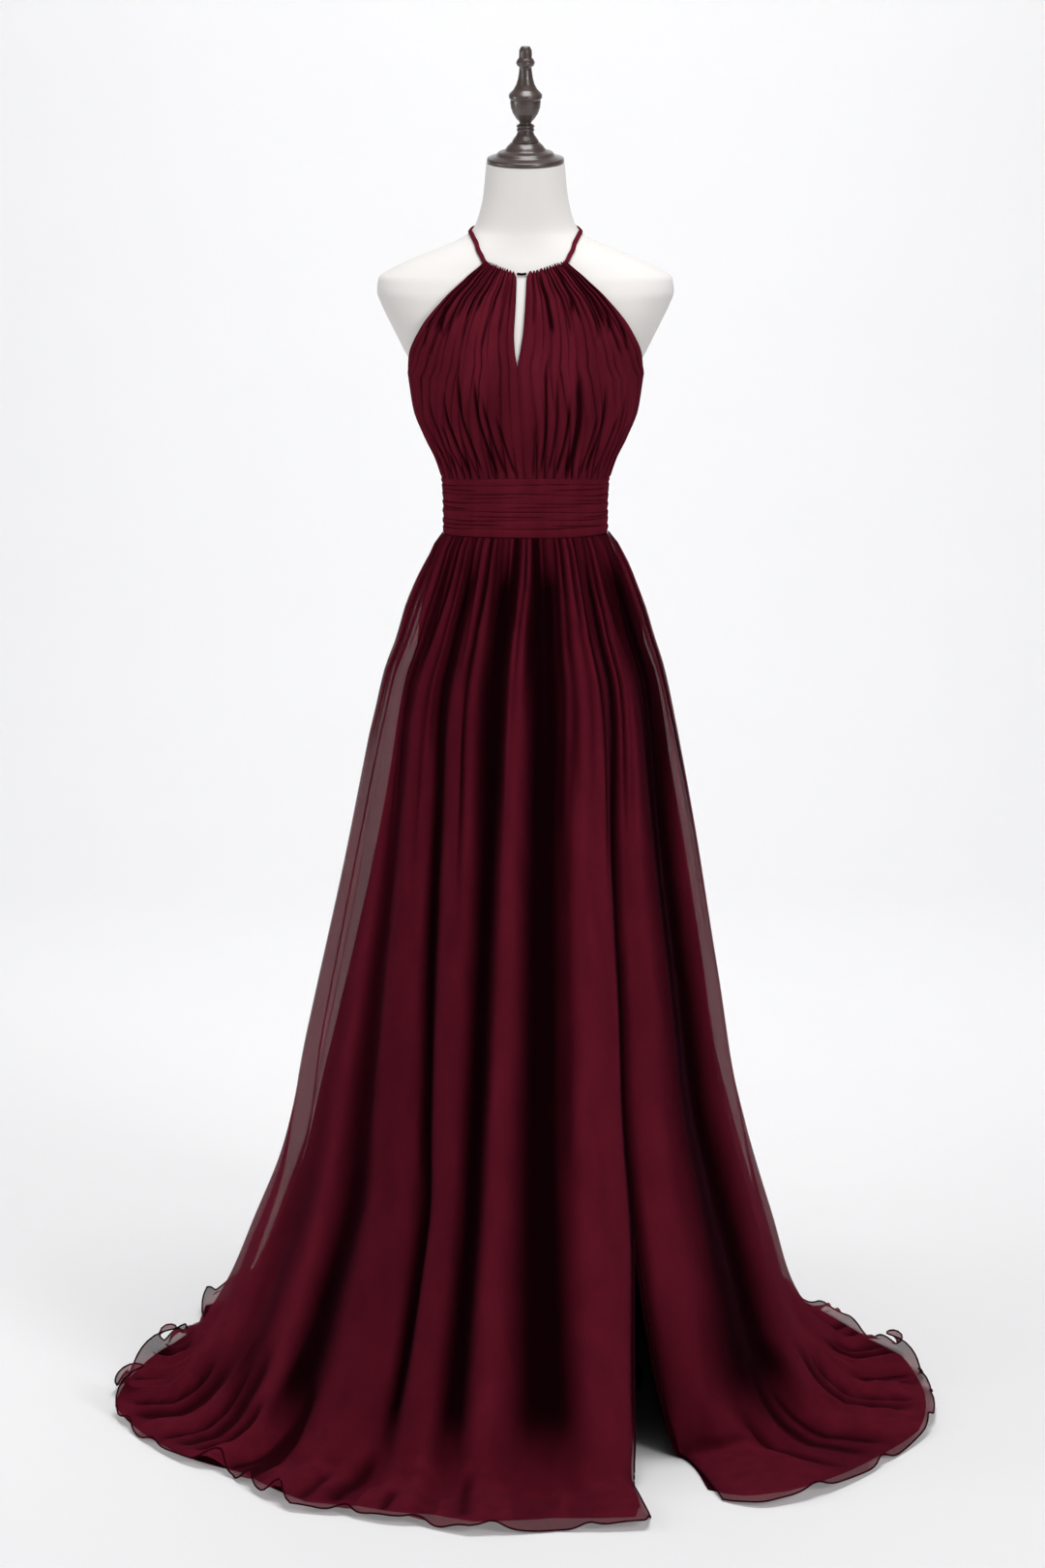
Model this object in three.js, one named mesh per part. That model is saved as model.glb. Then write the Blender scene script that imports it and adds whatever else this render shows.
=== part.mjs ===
// A floor-length halter dress with a sweep train, on a limbless dress form.
// Millimetres, +Z up. The front faces -Y, and left and right are as seen from the front.
// The origin is on the floor, at the middle of the stand's flat underside.
import * as THREE from 'three';

// Driving sizes of the cloth.
const SEAM_GAP = 0.3; // between two pieces that are sewn together
const EASE = 0.8; // between the form and the waistband
const BODICE_EASE = 1.3; // between the form and the bodice, whose gathers lift it
const ARMHOLE_EASE = 1.5; // more of it at the armhole's edge, where the form turns outwards
const EASE_RISE = 60; // the height over which it comes in above the waistband
const SKIRT_CLOTH = 2.2;
const LINING_CLOTH = 1.5;
const BODICE_CLOTH = 1.4;
const BAND_CLOTH = 1.5;

// Driving heights.
const WAIST_BOTTOM = 1079;
const WAIST_TOP = 1142;
const UNDERARM = 1262;
const NECKLINE_SIDE = 1413;
const NECKLINE_DIP = 12; // the neckline's middle hangs this far below its corners
const DIP_CURVE = 1.5;
const FORM_BOTTOM = 840;
const NECK_TOP = 1530;
const NECK_LEAN = 7; // degrees, forwards
const LEAST_RADIUS = 75; // of the waist, which turns a seam's gap into an angle

// The stand under the skirt.
const POLE_RADIUS = 14;
const BASE_RADIUS = 150;
const BASE_HEIGHT = 24;

// Colours.
const CHIFFON = 0x5c1524;
const LINING = 0x3d0c18;
const JERSEY = 0xece9e6;
const TURNED_WOOD = 0x3b2a26;
const STEEL = 0x8a8c90;

function table(names, rows) {
  const keys = names.split(' ');
  return rows.map((row) => Object.fromEntries(keys.map((key, i) => [key, row[i]])));
}

// The form's level sections: half width, depth to the front and back, and how square the oval is.
const FORM = table('z width front back square', [
  [FORM_BOTTOM, 126, 88, 96, 2],
  [880, 136, 94, 107, 2],
  [898, 137, 95, 108, 2],
  [930, 131, 93, 106, 2],
  [960, 121, 88, 99, 2],
  [1005, 110.5, 82, 89, 2],
  [1035, 105, 79.5, 83, 2],
  [1060, 100.5, 77.5, 78.5, 2],
  [1078.7, 97.5, 76.5, 76, 2],
  [1110, 96.5, 76.5, 74, 2.03],
  [1142, 98.5, 80, 74.5, 2.07],
  [1170, 105, 87, 78, 2.15],
  [1200, 118, 97, 85, 2.2],
  [1232, 130.5, 105, 92, 2.2],
  [1262, 135.5, 109, 97, 2.2],
  [1284, 139, 108, 100, 2.2],
  [1305, 149, 104, 101, 2.25],
  [1335, 164, 96, 101, 2.3],
  [1360, 176, 87, 98, 2.35],
  [1375, 181, 81, 95, 2.4],
  [1391, 179, 73.5, 90, 2.4],
  [1401, 164, 68, 86, 2.4],
  [1412, 142, 63, 80, 2.35],
  [1425, 110, 57, 72, 2.25],
  [1438, 80, 52.5, 64, 2.1],
  [1450, 64, 49.5, 59, 2],
  [1466, 57, 48, 55, 2],
  [1490, 51.5, 47, 50.5, 2],
  [NECK_TOP, 47.5, 46, 47, 2],
]);
const FORM_COLUMNS = 36;
const BUST = { height: 1250, apart: 60, depth: 7, width: 36, tall: 38 };

// The skirt's rows from the waist to the hem, to the hollows of its folds.
// The last rows lie on the floor, where the lining under them lifts the cloth a little.
// tilt turns the folds from sideways, on the hanging cloth, to upright, on the floor.
// trail is the share of each fold's own reach that its hem takes.
// lining is how far inside the hollows the lining hangs, at the rows that it has.
const SKIRT = table('z left right front back tilt fold gather trail lining', [
  [1078.7, 101.2, 101.2, 80.2, 79.6, 0, 0, 2.4, 0, 0.7],
  [1035, 111, 112, 95, 101, 12, 1.5, 4.6, 0, null],
  [1005, 118, 121, 108, 115, 14, 3, 5.4, 0, 3.6],
  [960, 130, 135, 125, 137, 15, 6, 5, 0, null],
  [898, 153, 159, 149, 163, 14, 10, 3.4, 0, 3.8],
  [760, 177, 181, 184, 207, 11, 17.5, 0.8, 0, 4.2],
  [655, 198, 198, 217, 241, 12, 19.5, 0, 0, null],
  [532, 226, 218, 256, 283, 13, 20.5, 0, 0, 4.2],
  [408, 256, 235, 298, 328, 15, 21.5, 0, 0, 4.2],
  [284, 288, 269, 343, 379, 18, 22, 0, 0, 6.4],
  [190, 326, 298, 380, 421, 22, 22, 0, 0, null],
  [110, 361, 323, 420, 466, 27, 20.5, 0, 0, 7],
  [55, 395, 356, 451, 497, 36, 18, 0, 0, 7],
  [20, 423, 388, 472, 525, 52, 15, 0, 0, 10],
  [2.1, 460, 428, 500, 562, 90, 12, 0, 0, 0.3],
  [2.1, 512, 502, 590, 671, 90, 9, 0, 0.8, 0.3],
  [0, 525, 520, 612, 698, 90, 8, 0, 1, null],
]);
const GATHERS_PER_FOLD = 3;

// The heights at which the fold table gives angles. At the waist the folds are even.
const HIP = 925;
const KNEE = 690;
const SHIN = 300;

// One row for each large fold, from the left side seam round the front, the right and the back.
// start is the hollow before it and ridge its crest, in degrees from the front's middle.
// height scales its depth, crisp narrows its crest, and the last two scale the hem's reach.
const FOLDS = table(
  'startHip startKnee startShin ridgeHip ridgeKnee ridgeShin height crisp startHem ridgeHem',
  [
    [-90, -90, -90, -82, -79, -79, 0.95, 0.9, 0.965, 1.005],
    [-74, -69, -67, -66, -59, -54, 1.05, 1.2, 0.985, 0.965],
    [-59, -53, -45, -49, -43, -31, 1.15, 0.8, 0.935, 1.01],
    [-40, -34, -24, -26, -22, -18.5, 1.25, 1, 0.98, 0.99],
    [-14, -13.5, -13, -4.5, -5.5, -7, 1.35, 1.5, 0.985, 1.018],
    [9, 5.5, 4, 24, 18.5, 15, 1.3, 0.7, 0.988, 1.012],
    [41, 33, 28.8, 49, 41, 39, 1.15, 0.7, 1, 1.025],
    [65, 58, 57, 76, 68, 69, 1, 1.1, 1.005, 1.018],
    [90, 90, 90, 98, 98, 99, 0.9, 1, 0.97, 0.955],
    [108, 108, 107, 117, 117, 116, 1.2, 1.2, 0.9, 0.885],
    [126, 125, 126, 135, 135, 135, 0.85, 0.9, 0.885, 0.93],
    [144, 144, 143, 152, 153, 153, 1.3, 1.1, 0.945, 0.985],
    [162, 162, 162, 171, 171, 171, 1.05, 0.8, 0.97, 1.005],
    [180, 180, 180, 189, 188, 188, 1.1, 1, 0.985, 1],
    [198, 198, 198, 207, 207, 207, 1.25, 1.2, 0.97, 0.985],
    [216, 217, 216, 225, 226, 224, 0.9, 0.8, 0.94, 0.92],
    [234, 234, 232, 243, 242, 239, 1.15, 1.1, 0.9, 0.955],
    [252, 252, 248, 261, 261, 260, 1, 1, 0.865, 0.925],
  ],
);
const FRONT_FOLDS = 8;
const SLIT_FOLD = 6; // the slit runs in the hollow before this fold

// The slit's two edges over the skirt's last rows. Above them they lie together.
// Each has its angle, and pull draws the cloth there in towards the stand.
const SLIT = table('leftAngle leftPull rightAngle rightPull', [
  [28.3, 1, 28.9, 1],
  [25.4, 1, 28.6, 1],
  [23.3, 1, 31.3, 0.934],
  [21.2, 1, 32.9, 0.879],
  [19.4, 0.99, 33.5, 0.841],
  [18.4, 0.95, 33.7, 0.79],
  [17.2, 0.95, 29.7, 0.955],
  [17, 0.95, 28.9, 0.991],
]);

// The bodice front: its armhole edge, the keyhole slot and the seam below it.
const ARMHOLE = table('z reach', [
  [1284, 137.5],
  [1305, 135.5],
  [1335, 123.5],
  [1364, 102],
  [1391, 74.5],
  [NECKLINE_SIDE, 49],
]);
const KEYHOLE = table('z middle half', [
  [1142, 0, 0.15],
  [1200, -4, 0.15],
  [1290, -10, 0.15],
  [1312, -9.5, 3.4],
  [1335, -8, 5.4],
  [1364, -6, 5.6],
  [NECKLINE_SIDE, -4, 6],
]);
const BODICE_GATHERS = 14; // on each half
const UNEVEN = { share: 0.3, pace: 2.4 }; // how the gathers differ from each other
const BODICE = table('z gather', [
  [WAIST_TOP, 2.2],
  [1170, 2.8],
  [1200, 3.2],
  [1232, 3.4],
  [UNDERARM, 3.4],
  [1305, 3.3],
  [1335, 3],
  [1364, 2.6],
  [1391, 2.1],
  [NECKLINE_SIDE, 1.7],
]);
const BACK_DIP = 28; // the back's top edge hangs this far below the underarms
const BACK_COLUMNS = 12;
const BACK_ROWS = 4;

// The waistband: flat pleats whose folded edges face up.
const PLEATS = 7;
const PLEAT_EDGE = 1.9; // how far an edge stands out over the pleat above
const PLEAT_STEP = 0.1; // the share of a pleat's height that its edge takes
const FRONT_RISE = { top: 6, bottom: 2 }; // the waist seams rise towards the front's middle
const BAND_COLUMNS = 16; // in half a turn

// The halter straps, from the neckline's corners round to the nape.
const STRAP_WIDTH = 5.6;
const STRAP_CLOTH = 1.6;
const STRAP_LIFT = 1.4;
const STRAP = table('angle z', [
  [18.5, 1416.6],
  [27, 1426],
  [41, 1436],
  [60, 1443],
  [90, 1448],
  [120, 1450],
  [150, 1450],
  [180, 1450],
]);
const STRAP_STEPS = 26;
const NAPE_GAP = 0.25; // degrees, between each strap's end and the back's middle
const KEYHOLE_CORD = 1.5; // radius

const TURN = Math.PI / 180;
const mix = (a, b, share) => a + (b - a) * share;
const clamp = (x) => Math.min(Math.max(x, 0), 1);
const smooth = (x) => clamp(x) ** 2 * (3 - 2 * clamp(x));
const power = (x, p) => Math.sign(x) * Math.abs(x) ** p;

// A column's value at a height, on a smooth curve through the table's rows that never overshoots.
function read(rows, height, column, key = 'z') {
  const last = rows.length - 1;
  if (height <= rows[0][key]) return rows[0][column];
  if (height >= rows[last][key]) return rows[last][column];
  const i = rows.findIndex((row) => row[key] > height) - 1;
  const slope = (n) => (rows[n + 1][column] - rows[n][column]) / (rows[n + 1][key] - rows[n][key]);
  const bend = (n) => {
    if (n === 0 || n === last) return slope(Math.min(n, last - 1));
    const before = slope(n - 1);
    const after = slope(n);
    return before * after > 0 ? (2 * before * after) / (before + after) : 0;
  };
  const step = rows[i + 1][key] - rows[i][key];
  const u = (height - rows[i][key]) / step;
  const start = rows[i][column];
  const end = rows[i + 1][column];
  const rise = (1 - u) ** 2 * u * bend(i) * step - (1 - u) * u * u * bend(i + 1) * step;
  return start + (end - start) * smooth(u) + rise;
}

// A point on the bare form, at an angle from its front and a height.
function onForm(angle, z) {
  const width = read(FORM, z, 'width');
  const square = read(FORM, z, 'square');
  const facing = Math.cos(angle * TURN);
  const depth = read(FORM, z, facing > 0 ? 'front' : 'back');
  const x = width * power(Math.sin(angle * TURN), 2 / square);
  const aside = (Math.abs(x) - BUST.apart) / BUST.width;
  const above = (z - BUST.height) / BUST.tall;
  const bust = facing > 0 ? BUST.depth * facing * Math.exp(-(aside ** 2) - above ** 2) : 0;
  return new THREE.Vector3(x, -depth * power(facing, 2 / square) - bust, z);
}

function formNormal(angle, z) {
  const step = 0.4;
  const across = onForm(angle + step, z).sub(onForm(angle - step, z));
  const up = onForm(angle, z + 2 * step).sub(onForm(angle, z - 2 * step));
  return across.cross(up).normalize();
}

// A point that stands off the form.
function offForm(angle, z, distance) {
  return onForm(angle, z).addScaledVector(formNormal(angle, z), distance);
}

// The angle at which the form's section at a height is this far from the middle.
function angleAt(x, z) {
  const share = Math.min(Math.abs(x) / read(FORM, z, 'width'), 1);
  return (Math.sign(x) * Math.asin(share ** (read(FORM, z, 'square') / 2))) / TURN;
}

// Meshes from grids of points. Rows run down and columns run from left to right.
function meshFrom(points, faces) {
  const geometry = new THREE.BufferGeometry();
  geometry.setAttribute('position', new THREE.Float32BufferAttribute(points.flatMap((p) => p.toArray()), 3));
  geometry.setIndex(faces.flat());
  geometry.computeVertexNormals();
  return geometry;
}

function addGrid(points, faces, grid, outward) {
  const marks = grid.map((row) => row.map((p) => points.push(p) - 1));
  for (let r = 0; r + 1 < marks.length; r += 1) {
    for (let c = 0; c + 1 < marks[r].length; c += 1) {
      const [a, b] = [marks[r][c], marks[r][c + 1]];
      const [d, e] = [marks[r + 1][c], marks[r + 1][c + 1]];
      faces.push(...(outward ? [[a, d, b], [b, d, e]] : [[a, b, d], [b, e, d]]));
    }
  }
  return marks;
}

// Joins two edges that run the same way, even where one has more points.
function zip(faces, outer, inner) {
  let [i, j] = [0, 0];
  while (i + 1 < outer.length || j + 1 < inner.length) {
    const outerNext = (i + 1) / (outer.length - 1);
    const innerNext = (j + 1) / (inner.length - 1);
    if (j + 1 >= inner.length || (i + 1 < outer.length && outerNext <= innerNext)) {
      faces.push([outer[i], outer[i + 1], inner[j]]);
      i += 1;
    } else {
      faces.push([outer[i], inner[j + 1], inner[j]]);
      j += 1;
    }
  }
}

// A wall of cloth: its outer and inner grids, closed along the four edges.
function wall(outerGrid, innerGrid) {
  const [points, faces] = [[], []];
  const outer = addGrid(points, faces, outerGrid, true);
  const inner = addGrid(points, faces, innerGrid, false);
  const right = (grid) => grid.map((row) => row.at(-1));
  const left = (grid) => grid.map((row) => row[0]).reverse();
  const bottom = (grid) => [...grid.at(-1)].reverse();
  zip(faces, outer[0], inner[0]);
  zip(faces, right(outer), right(inner));
  zip(faces, bottom(outer), bottom(inner));
  zip(faces, left(outer), left(inner));
  return meshFrom(points, faces);
}

// A solid through closed rings that run down, with a flat cap at each end.
function solid(rings) {
  const [points, faces] = [[], []];
  const marks = addGrid(points, faces, rings.map((ring) => [...ring]), true);
  marks.forEach((row, r) => {
    if (r + 1 < marks.length) {
      const [a, b] = [row.at(-1), row[0]];
      const [d, e] = [marks[r + 1].at(-1), marks[r + 1][0]];
      faces.push([a, d, b], [b, d, e]);
    }
  });
  for (const [row, up] of [[marks[0], true], [marks.at(-1), false]]) {
    const middle = new THREE.Vector3();
    row.forEach((mark) => middle.addScaledVector(points[mark], 1 / row.length));
    const centre = points.push(middle) - 1;
    row.forEach((mark, i) => {
      const next = row[(i + 1) % row.length];
      faces.push(up ? [mark, next, centre] : [next, mark, centre]);
    });
  }
  return meshFrom(points, faces);
}

const group = new THREE.Group();

function add(name, geometry, color, roughness, metalness = 0) {
  const mesh = new THREE.Mesh(geometry, new THREE.MeshStandardMaterial({ color, roughness, metalness }));
  mesh.name = name;
  group.add(mesh);
  return mesh;
}

const steps = (count) => Array.from({ length: count + 1 }, (_, i) => i);

// The dress form's body, from its flat underside to the leaning cut of its neck.
function formRings() {
  const levels = FORM.map((row) => row.z).reverse();
  const lean = Math.tan(NECK_LEAN * TURN);
  return levels.map((z) => steps(FORM_COLUMNS - 1).map((i) => {
    const point = onForm((360 * i) / FORM_COLUMNS, z);
    if (z === NECK_TOP) point.z += lean * point.y;
    return point;
  }));
}
add('form_torso', solid(formRings()), JERSEY, 0.8);

// The waistband's seams rise a little towards the front's middle.
const frontShare = (angle) => Math.max(Math.cos(angle * TURN), 0) ** 2;

// The skirt and its lining.
function alongHeights(z, waist, hip, knee, shin) {
  if (z > HIP) return mix(hip, waist, smooth((z - HIP) / (WAIST_BOTTOM - HIP)));
  if (z > KNEE) return mix(knee, hip, (z - KNEE) / (HIP - KNEE));
  return mix(shin, knee, clamp((z - SHIN) / (KNEE - SHIN)));
}

function evenAngle(index) {
  if (index <= FRONT_FOLDS) return -90 + (180 * index) / FRONT_FOLDS;
  return 90 + (180 * (index - FRONT_FOLDS)) / (FOLDS.length - FRONT_FOLDS);
}

function slitAt(rowIndex) {
  return SLIT[rowIndex - (SKIRT.length - SLIT.length)];
}

// The angle of the hollow before a fold. At the slit each side has its own.
function hollowAngle(index, rowIndex, side) {
  const slit = index === SLIT_FOLD ? slitAt(rowIndex) : undefined;
  if (slit) return slit[side === 'left' ? 'leftAngle' : 'rightAngle'];
  const fold = FOLDS[index % FOLDS.length];
  const whole = index === FOLDS.length ? 360 : 0;
  const { z } = SKIRT[rowIndex];
  const own = alongHeights(z, 0, fold.startHip, fold.startKnee, fold.startShin);
  const waist = alongHeights(z, evenAngle(index) - whole, 0, 0, 0);
  return own + waist + whole;
}

function crestAngle(index, rowIndex) {
  const fold = FOLDS[index];
  const even = (evenAngle(index) + evenAngle(index + 1)) / 2;
  return alongHeights(SKIRT[rowIndex].z, even, fold.ridgeHip, fold.ridgeKnee, fold.ridgeShin);
}

// One point of the skirt: q runs from 0 to 1 across a fold, and out is measured from the hollow's face.
function onSkirt(index, q, rowIndex, { nudge = 0, folded = 1, out = 0 }) {
  const row = SKIRT[rowIndex];
  const fold = FOLDS[index];
  const next = FOLDS[(index + 1) % FOLDS.length];
  const crest = crestAngle(index, rowIndex);
  const angle = q < 0.5
    ? mix(hollowAngle(index, rowIndex, 'right'), crest, 2 * q)
    : mix(crest, hollowAngle(index + 1, rowIndex, 'left'), 2 * q - 1);
  const across = row[Math.sin(angle * TURN) < 0 ? 'left' : 'right'];
  const deep = row[Math.cos(angle * TURN) > 0 ? 'front' : 'back'];
  const turn = angle * TURN + nudge / Math.min(across, deep);
  const hem = q < 0.5 ? mix(fold.startHem, fold.ridgeHem, 2 * q) : mix(fold.ridgeHem, next.startHem, 2 * q - 1);
  let reach = mix(1, hem, row.trail);
  const slit = slitAt(rowIndex);
  if (slit && index + 1 === SLIT_FOLD) reach *= mix(1, slit.leftPull, smooth(2 * q - 1));
  if (slit && index === SLIT_FOLD) reach *= mix(1, slit.rightPull, smooth(1 - q));
  const point = new THREE.Vector3(reach * across * Math.sin(turn), -reach * deep * Math.cos(turn), row.z);
  if (rowIndex === 0) point.z += FRONT_RISE.bottom * frontShare(angle);
  const crown = (0.5 - 0.5 * Math.cos(2 * Math.PI * q)) ** fold.crisp;
  const gathered = 0.5 - 0.5 * Math.cos(2 * Math.PI * GATHERS_PER_FOLD * q);
  const lift = folded * (fold.height * row.fold * crown + row.gather * gathered) + out;
  const normal = new THREE.Vector3(Math.sin(turn) / across, -Math.cos(turn) / deep, 0).normalize();
  normal.multiplyScalar(Math.cos(row.tilt * TURN));
  normal.z = Math.sin(row.tilt * TURN);
  return point.addScaledVector(normal, lift);
}

// One panel over a run of folds, with a share of the seam's gap along each side.
function skirtGrid(first, last, perFold, rowList, options) {
  const columns = steps((last - first + 1) * perFold);
  return rowList.map((rowIndex) => columns.map((c) => {
    const index = Math.min(first + Math.floor(c / perFold), last);
    const q = c / perFold - (index - first);
    const edge = c === 0 ? 1 : c === columns.at(-1) ? -1 : 0;
    return onSkirt(index, q, rowIndex, { ...options, nudge: (edge * SEAM_GAP) / 2 });
  }));
}

const allRows = steps(SKIRT.length - 1);
const SKIRT_PANELS = [
  ['skirt_front', 0, 5],
  ['skirt_front_side', 6, 7],
  ['skirt_back_right', 8, 12],
  ['skirt_back_left', 13, 17],
];
for (const [name, first, last] of SKIRT_PANELS) {
  const perFold = 2 * GATHERS_PER_FOLD;
  const outer = skirtGrid(first, last, perFold, allRows, { out: SKIRT_CLOTH });
  const inner = skirtGrid(first, last, perFold, allRows, { out: 0 });
  add(name, wall(outer, inner), CHIFFON, 0.6);
}

// The lining hangs inside the hollows of the skirt's folds and ends a little inside the hem.
const liningRows = allRows.filter((rowIndex) => SKIRT[rowIndex].lining !== null);
function liningGrid(first, last, perFold, depth) {
  return liningRows.map((rowIndex) => {
    const out = -SKIRT[rowIndex].lining - depth;
    return skirtGrid(first, last, perFold, [rowIndex], { folded: 0, out })[0];
  });
}
const LINING_PANELS = [
  ['lining_front', 0, 5, 2],
  ['lining_front_side', 6, 7, 4],
  ['lining_back_right', 8, 12, 2],
  ['lining_back_left', 13, 17, 2],
];
for (const [name, first, last, perFold] of LINING_PANELS) {
  const outer = liningGrid(first, last, perFold, 0);
  add(name, wall(outer, liningGrid(first, last, perFold, LINING_CLOTH)), LINING, 0.5);
}

// The waistband.
const bandTop = (angle) => WAIST_TOP + FRONT_RISE.top * frontShare(angle);
const bandBottom = (angle) => WAIST_BOTTOM + FRONT_RISE.bottom * frontShare(angle);

function seamAngles(from, to, columns) {
  const nudge = SEAM_GAP / 2 / LEAST_RADIUS / TURN;
  return steps(columns).map((c) => {
    const edge = c === 0 ? 1 : c === columns ? -1 : 0;
    return mix(from, to, c / columns) + edge * nudge;
  });
}

function bandGrid(angles, levels) {
  return levels.map(([share, out]) => angles.map((angle) => {
    return offForm(angle, mix(bandTop(angle), bandBottom(angle), share), out);
  }));
}

function pleatLevels() {
  const face = EASE + BAND_CLOTH;
  return steps(PLEATS - 1).flatMap((i) => {
    const end = i + 1 === PLEATS ? 1 : (i + 1 - PLEAT_STEP) / PLEATS;
    return [[i / PLEATS, face + PLEAT_EDGE], [end, face]];
  });
}

const BAND_PIECES = [
  ['waistband_front', -90, 90],
  ['waistband_back_right', 90, 180],
  ['waistband_back_left', 180, 270],
];
for (const [name, from, to] of BAND_PIECES) {
  const angles = seamAngles(from, to, (BAND_COLUMNS * (to - from)) / 180);
  const inner = [[0, EASE], [0.5, EASE], [1, EASE]];
  add(name, wall(bandGrid(angles, pleatLevels()), bandGrid(angles, inner)), CHIFFON, 0.6);
}

// The bodice front: gathers that fan from the neckline over the bust to the waistband.
function bodiceGrid(side, out, gathered) {
  const count = 2 * BODICE_GATHERS;
  return [...BODICE].reverse().map((row) => steps(count).map((i) => {
    const c = side < 0 ? 1 - i / count : i / count;
    const top = row.z === NECKLINE_SIDE;
    let { z } = row;
    const slot = read(KEYHOLE, z, 'middle') + side * read(KEYHOLE, z, 'half');
    const inner = angleAt(slot, z);
    const edge = z > UNDERARM ? angleAt(read(ARMHOLE, z, 'reach'), z) : 90 - SEAM_GAP / 2 / LEAST_RADIUS / TURN;
    const angle = mix(inner, side * edge, c);
    if (top) z -= NECKLINE_DIP * (1 - c) ** DIP_CURVE;
    if (row.z === WAIST_TOP) z = bandTop(angle) + SEAM_GAP;
    const uneven = 1 + UNEVEN.share * Math.sin(UNEVEN.pace * Math.round(c * count) + side);
    const ridge = i % 2 === 1 ? row.gather * uneven : 0;
    const ease = BODICE_EASE + ARMHOLE_EASE * smooth(c) * smooth((z - WAIST_TOP) / EASE_RISE);
    return offForm(angle, z, ease + out + gathered * ridge);
  }));
}
for (const [name, side] of [['bodice_front_left', -1], ['bodice_front_right', 1]]) {
  add(name, wall(bodiceGrid(side, BODICE_CLOTH, 1), bodiceGrid(side, 0, 1)), CHIFFON, 0.6);
}

// The bodice back, which the front hides: plain, with a seam down its middle.
function backGrid(from, to, out) {
  return steps(BACK_ROWS).map((r) => seamAngles(from, to, BACK_COLUMNS).map((angle) => {
    const top = UNDERARM - BACK_DIP * Math.cos(angle * TURN) ** 2;
    return offForm(angle, mix(top, WAIST_TOP + SEAM_GAP, r / BACK_ROWS), BODICE_EASE + out);
  }));
}
for (const [name, from, to] of [['bodice_back_right', 90, 180], ['bodice_back_left', 180, 270]]) {
  add(name, wall(backGrid(from, to, BODICE_CLOTH), backGrid(from, to, 0)), CHIFFON, 0.6);
}

// The halter straps: flat rouleau bands that lie on the form's shoulders and meet at the nape.
function strapRings(side) {
  const [first, last] = [STRAP[0].angle, 180 - NAPE_GAP];
  return steps(STRAP_STEPS).map((i) => {
    const angle = mix(first, last, i / STRAP_STEPS);
    const ahead = mix(first, last, Math.min(i + 0.5, STRAP_STEPS) / STRAP_STEPS);
    const behind = mix(first, last, Math.max(i - 0.5, 0) / STRAP_STEPS);
    const place = (a) => offForm(side * a, read(STRAP, a, 'z', 'angle'), STRAP_LIFT);
    const centre = place(angle);
    const normal = formNormal(side * angle, read(STRAP, angle, 'z', 'angle'));
    const along = place(ahead).sub(place(behind)).normalize();
    const across = along.clone().cross(normal).normalize().multiplyScalar(STRAP_WIDTH / 2);
    const thick = normal.clone().multiplyScalar(STRAP_CLOTH);
    const corners = [
      centre.clone().add(across),
      centre.clone().add(across).add(thick),
      centre.clone().sub(across).add(thick),
      centre.clone().sub(across),
    ];
    return corners;
  });
}
for (const [name, side] of [['strap_left', -1], ['strap_right', 1]]) {
  add(name, solid(strapRings(side)), CHIFFON, 0.6);
}

// The small cord across the top of the keyhole.
function keyholeCord() {
  const z = NECKLINE_SIDE - NECKLINE_DIP - KEYHOLE_CORD;
  const middle = read(KEYHOLE, z, 'middle');
  const half = read(KEYHOLE, z, 'half') - SEAM_GAP;
  const geometry = new THREE.CylinderGeometry(KEYHOLE_CORD, KEYHOLE_CORD, 2 * half, 10);
  geometry.rotateZ(Math.PI / 2);
  const cord = add('keyhole_cord', geometry, CHIFFON, 0.5);
  const seat = offForm(angleAt(middle, z), z, BODICE_EASE + BODICE_CLOTH / 2);
  cord.position.set(middle, seat.y, seat.z);
}
keyholeCord();

// Turned pieces from a profile of radius and height.
function turned(profile, segments) {
  const geometry = new THREE.LatheGeometry(profile.map(([r, z]) => new THREE.Vector2(r, z)), segments);
  return geometry.rotateX(Math.PI / 2);
}

// The turned neck cap and its finial, which lean forwards with the neck.
const CAP = [[0, 0.3], [46.4, 0.3], [47.2, 3], [46.4, 5.8], [36, 9], [33, 13], [25, 15.5], [22, 20], [17, 25], [0, 25]];
const FINIAL = [
  [0, 25.3], [16.5, 25.3], [12, 31], [10.2, 38], [11, 44], [6.7, 47.6], [9.5, 52], [15.2, 59], [18.5, 72],
  [18.5, 76], [20.1, 79], [20.1, 85], [13.5, 92], [9, 103], [7.6, 112.5], [11.2, 121], [7.4, 127.5],
  [7.8, 134], [5.5, 139.5], [0, 141.7],
];
for (const [name, profile, segments] of [['neck_cap', CAP, 28], ['finial', FINIAL, 16]]) {
  const mesh = add(name, turned(profile, segments), TURNED_WOOD, 0.4);
  mesh.position.z = NECK_TOP;
  mesh.rotation.x = NECK_LEAN * TURN;
}

// The stand: a round steel base with a flat underside, and its pole.
const BASE = [[0, 0], [BASE_RADIUS, 0], [BASE_RADIUS, 8], [BASE_RADIUS - 8, 13], [40, 18], [24, BASE_HEIGHT], [0, BASE_HEIGHT]];
add('stand_base', turned(BASE, 32), STEEL, 0.35, 0.9);
const poleLength = FORM_BOTTOM - BASE_HEIGHT - 2 * SEAM_GAP;
const pole = add('stand_pole', new THREE.CylinderGeometry(POLE_RADIUS, POLE_RADIUS, poleLength, 20), STEEL, 0.35, 0.9);
pole.geometry.rotateX(Math.PI / 2);
pole.position.z = BASE_HEIGHT + SEAM_GAP + poleLength / 2;

export default group;
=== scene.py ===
# %% [markdown]
# A burgundy halter gown with a sweep train, dressed on a limbless form
#
# The gown is made of chiffon over a plain lining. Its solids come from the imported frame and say
# where every piece sits. This notebook dresses each solid in a thin, finely modelled shell of cloth.
# Lengths in the tables are millimetres, because a dressmaker measures in them. MM turns them to metres.

# %% load the frame
import math

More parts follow.
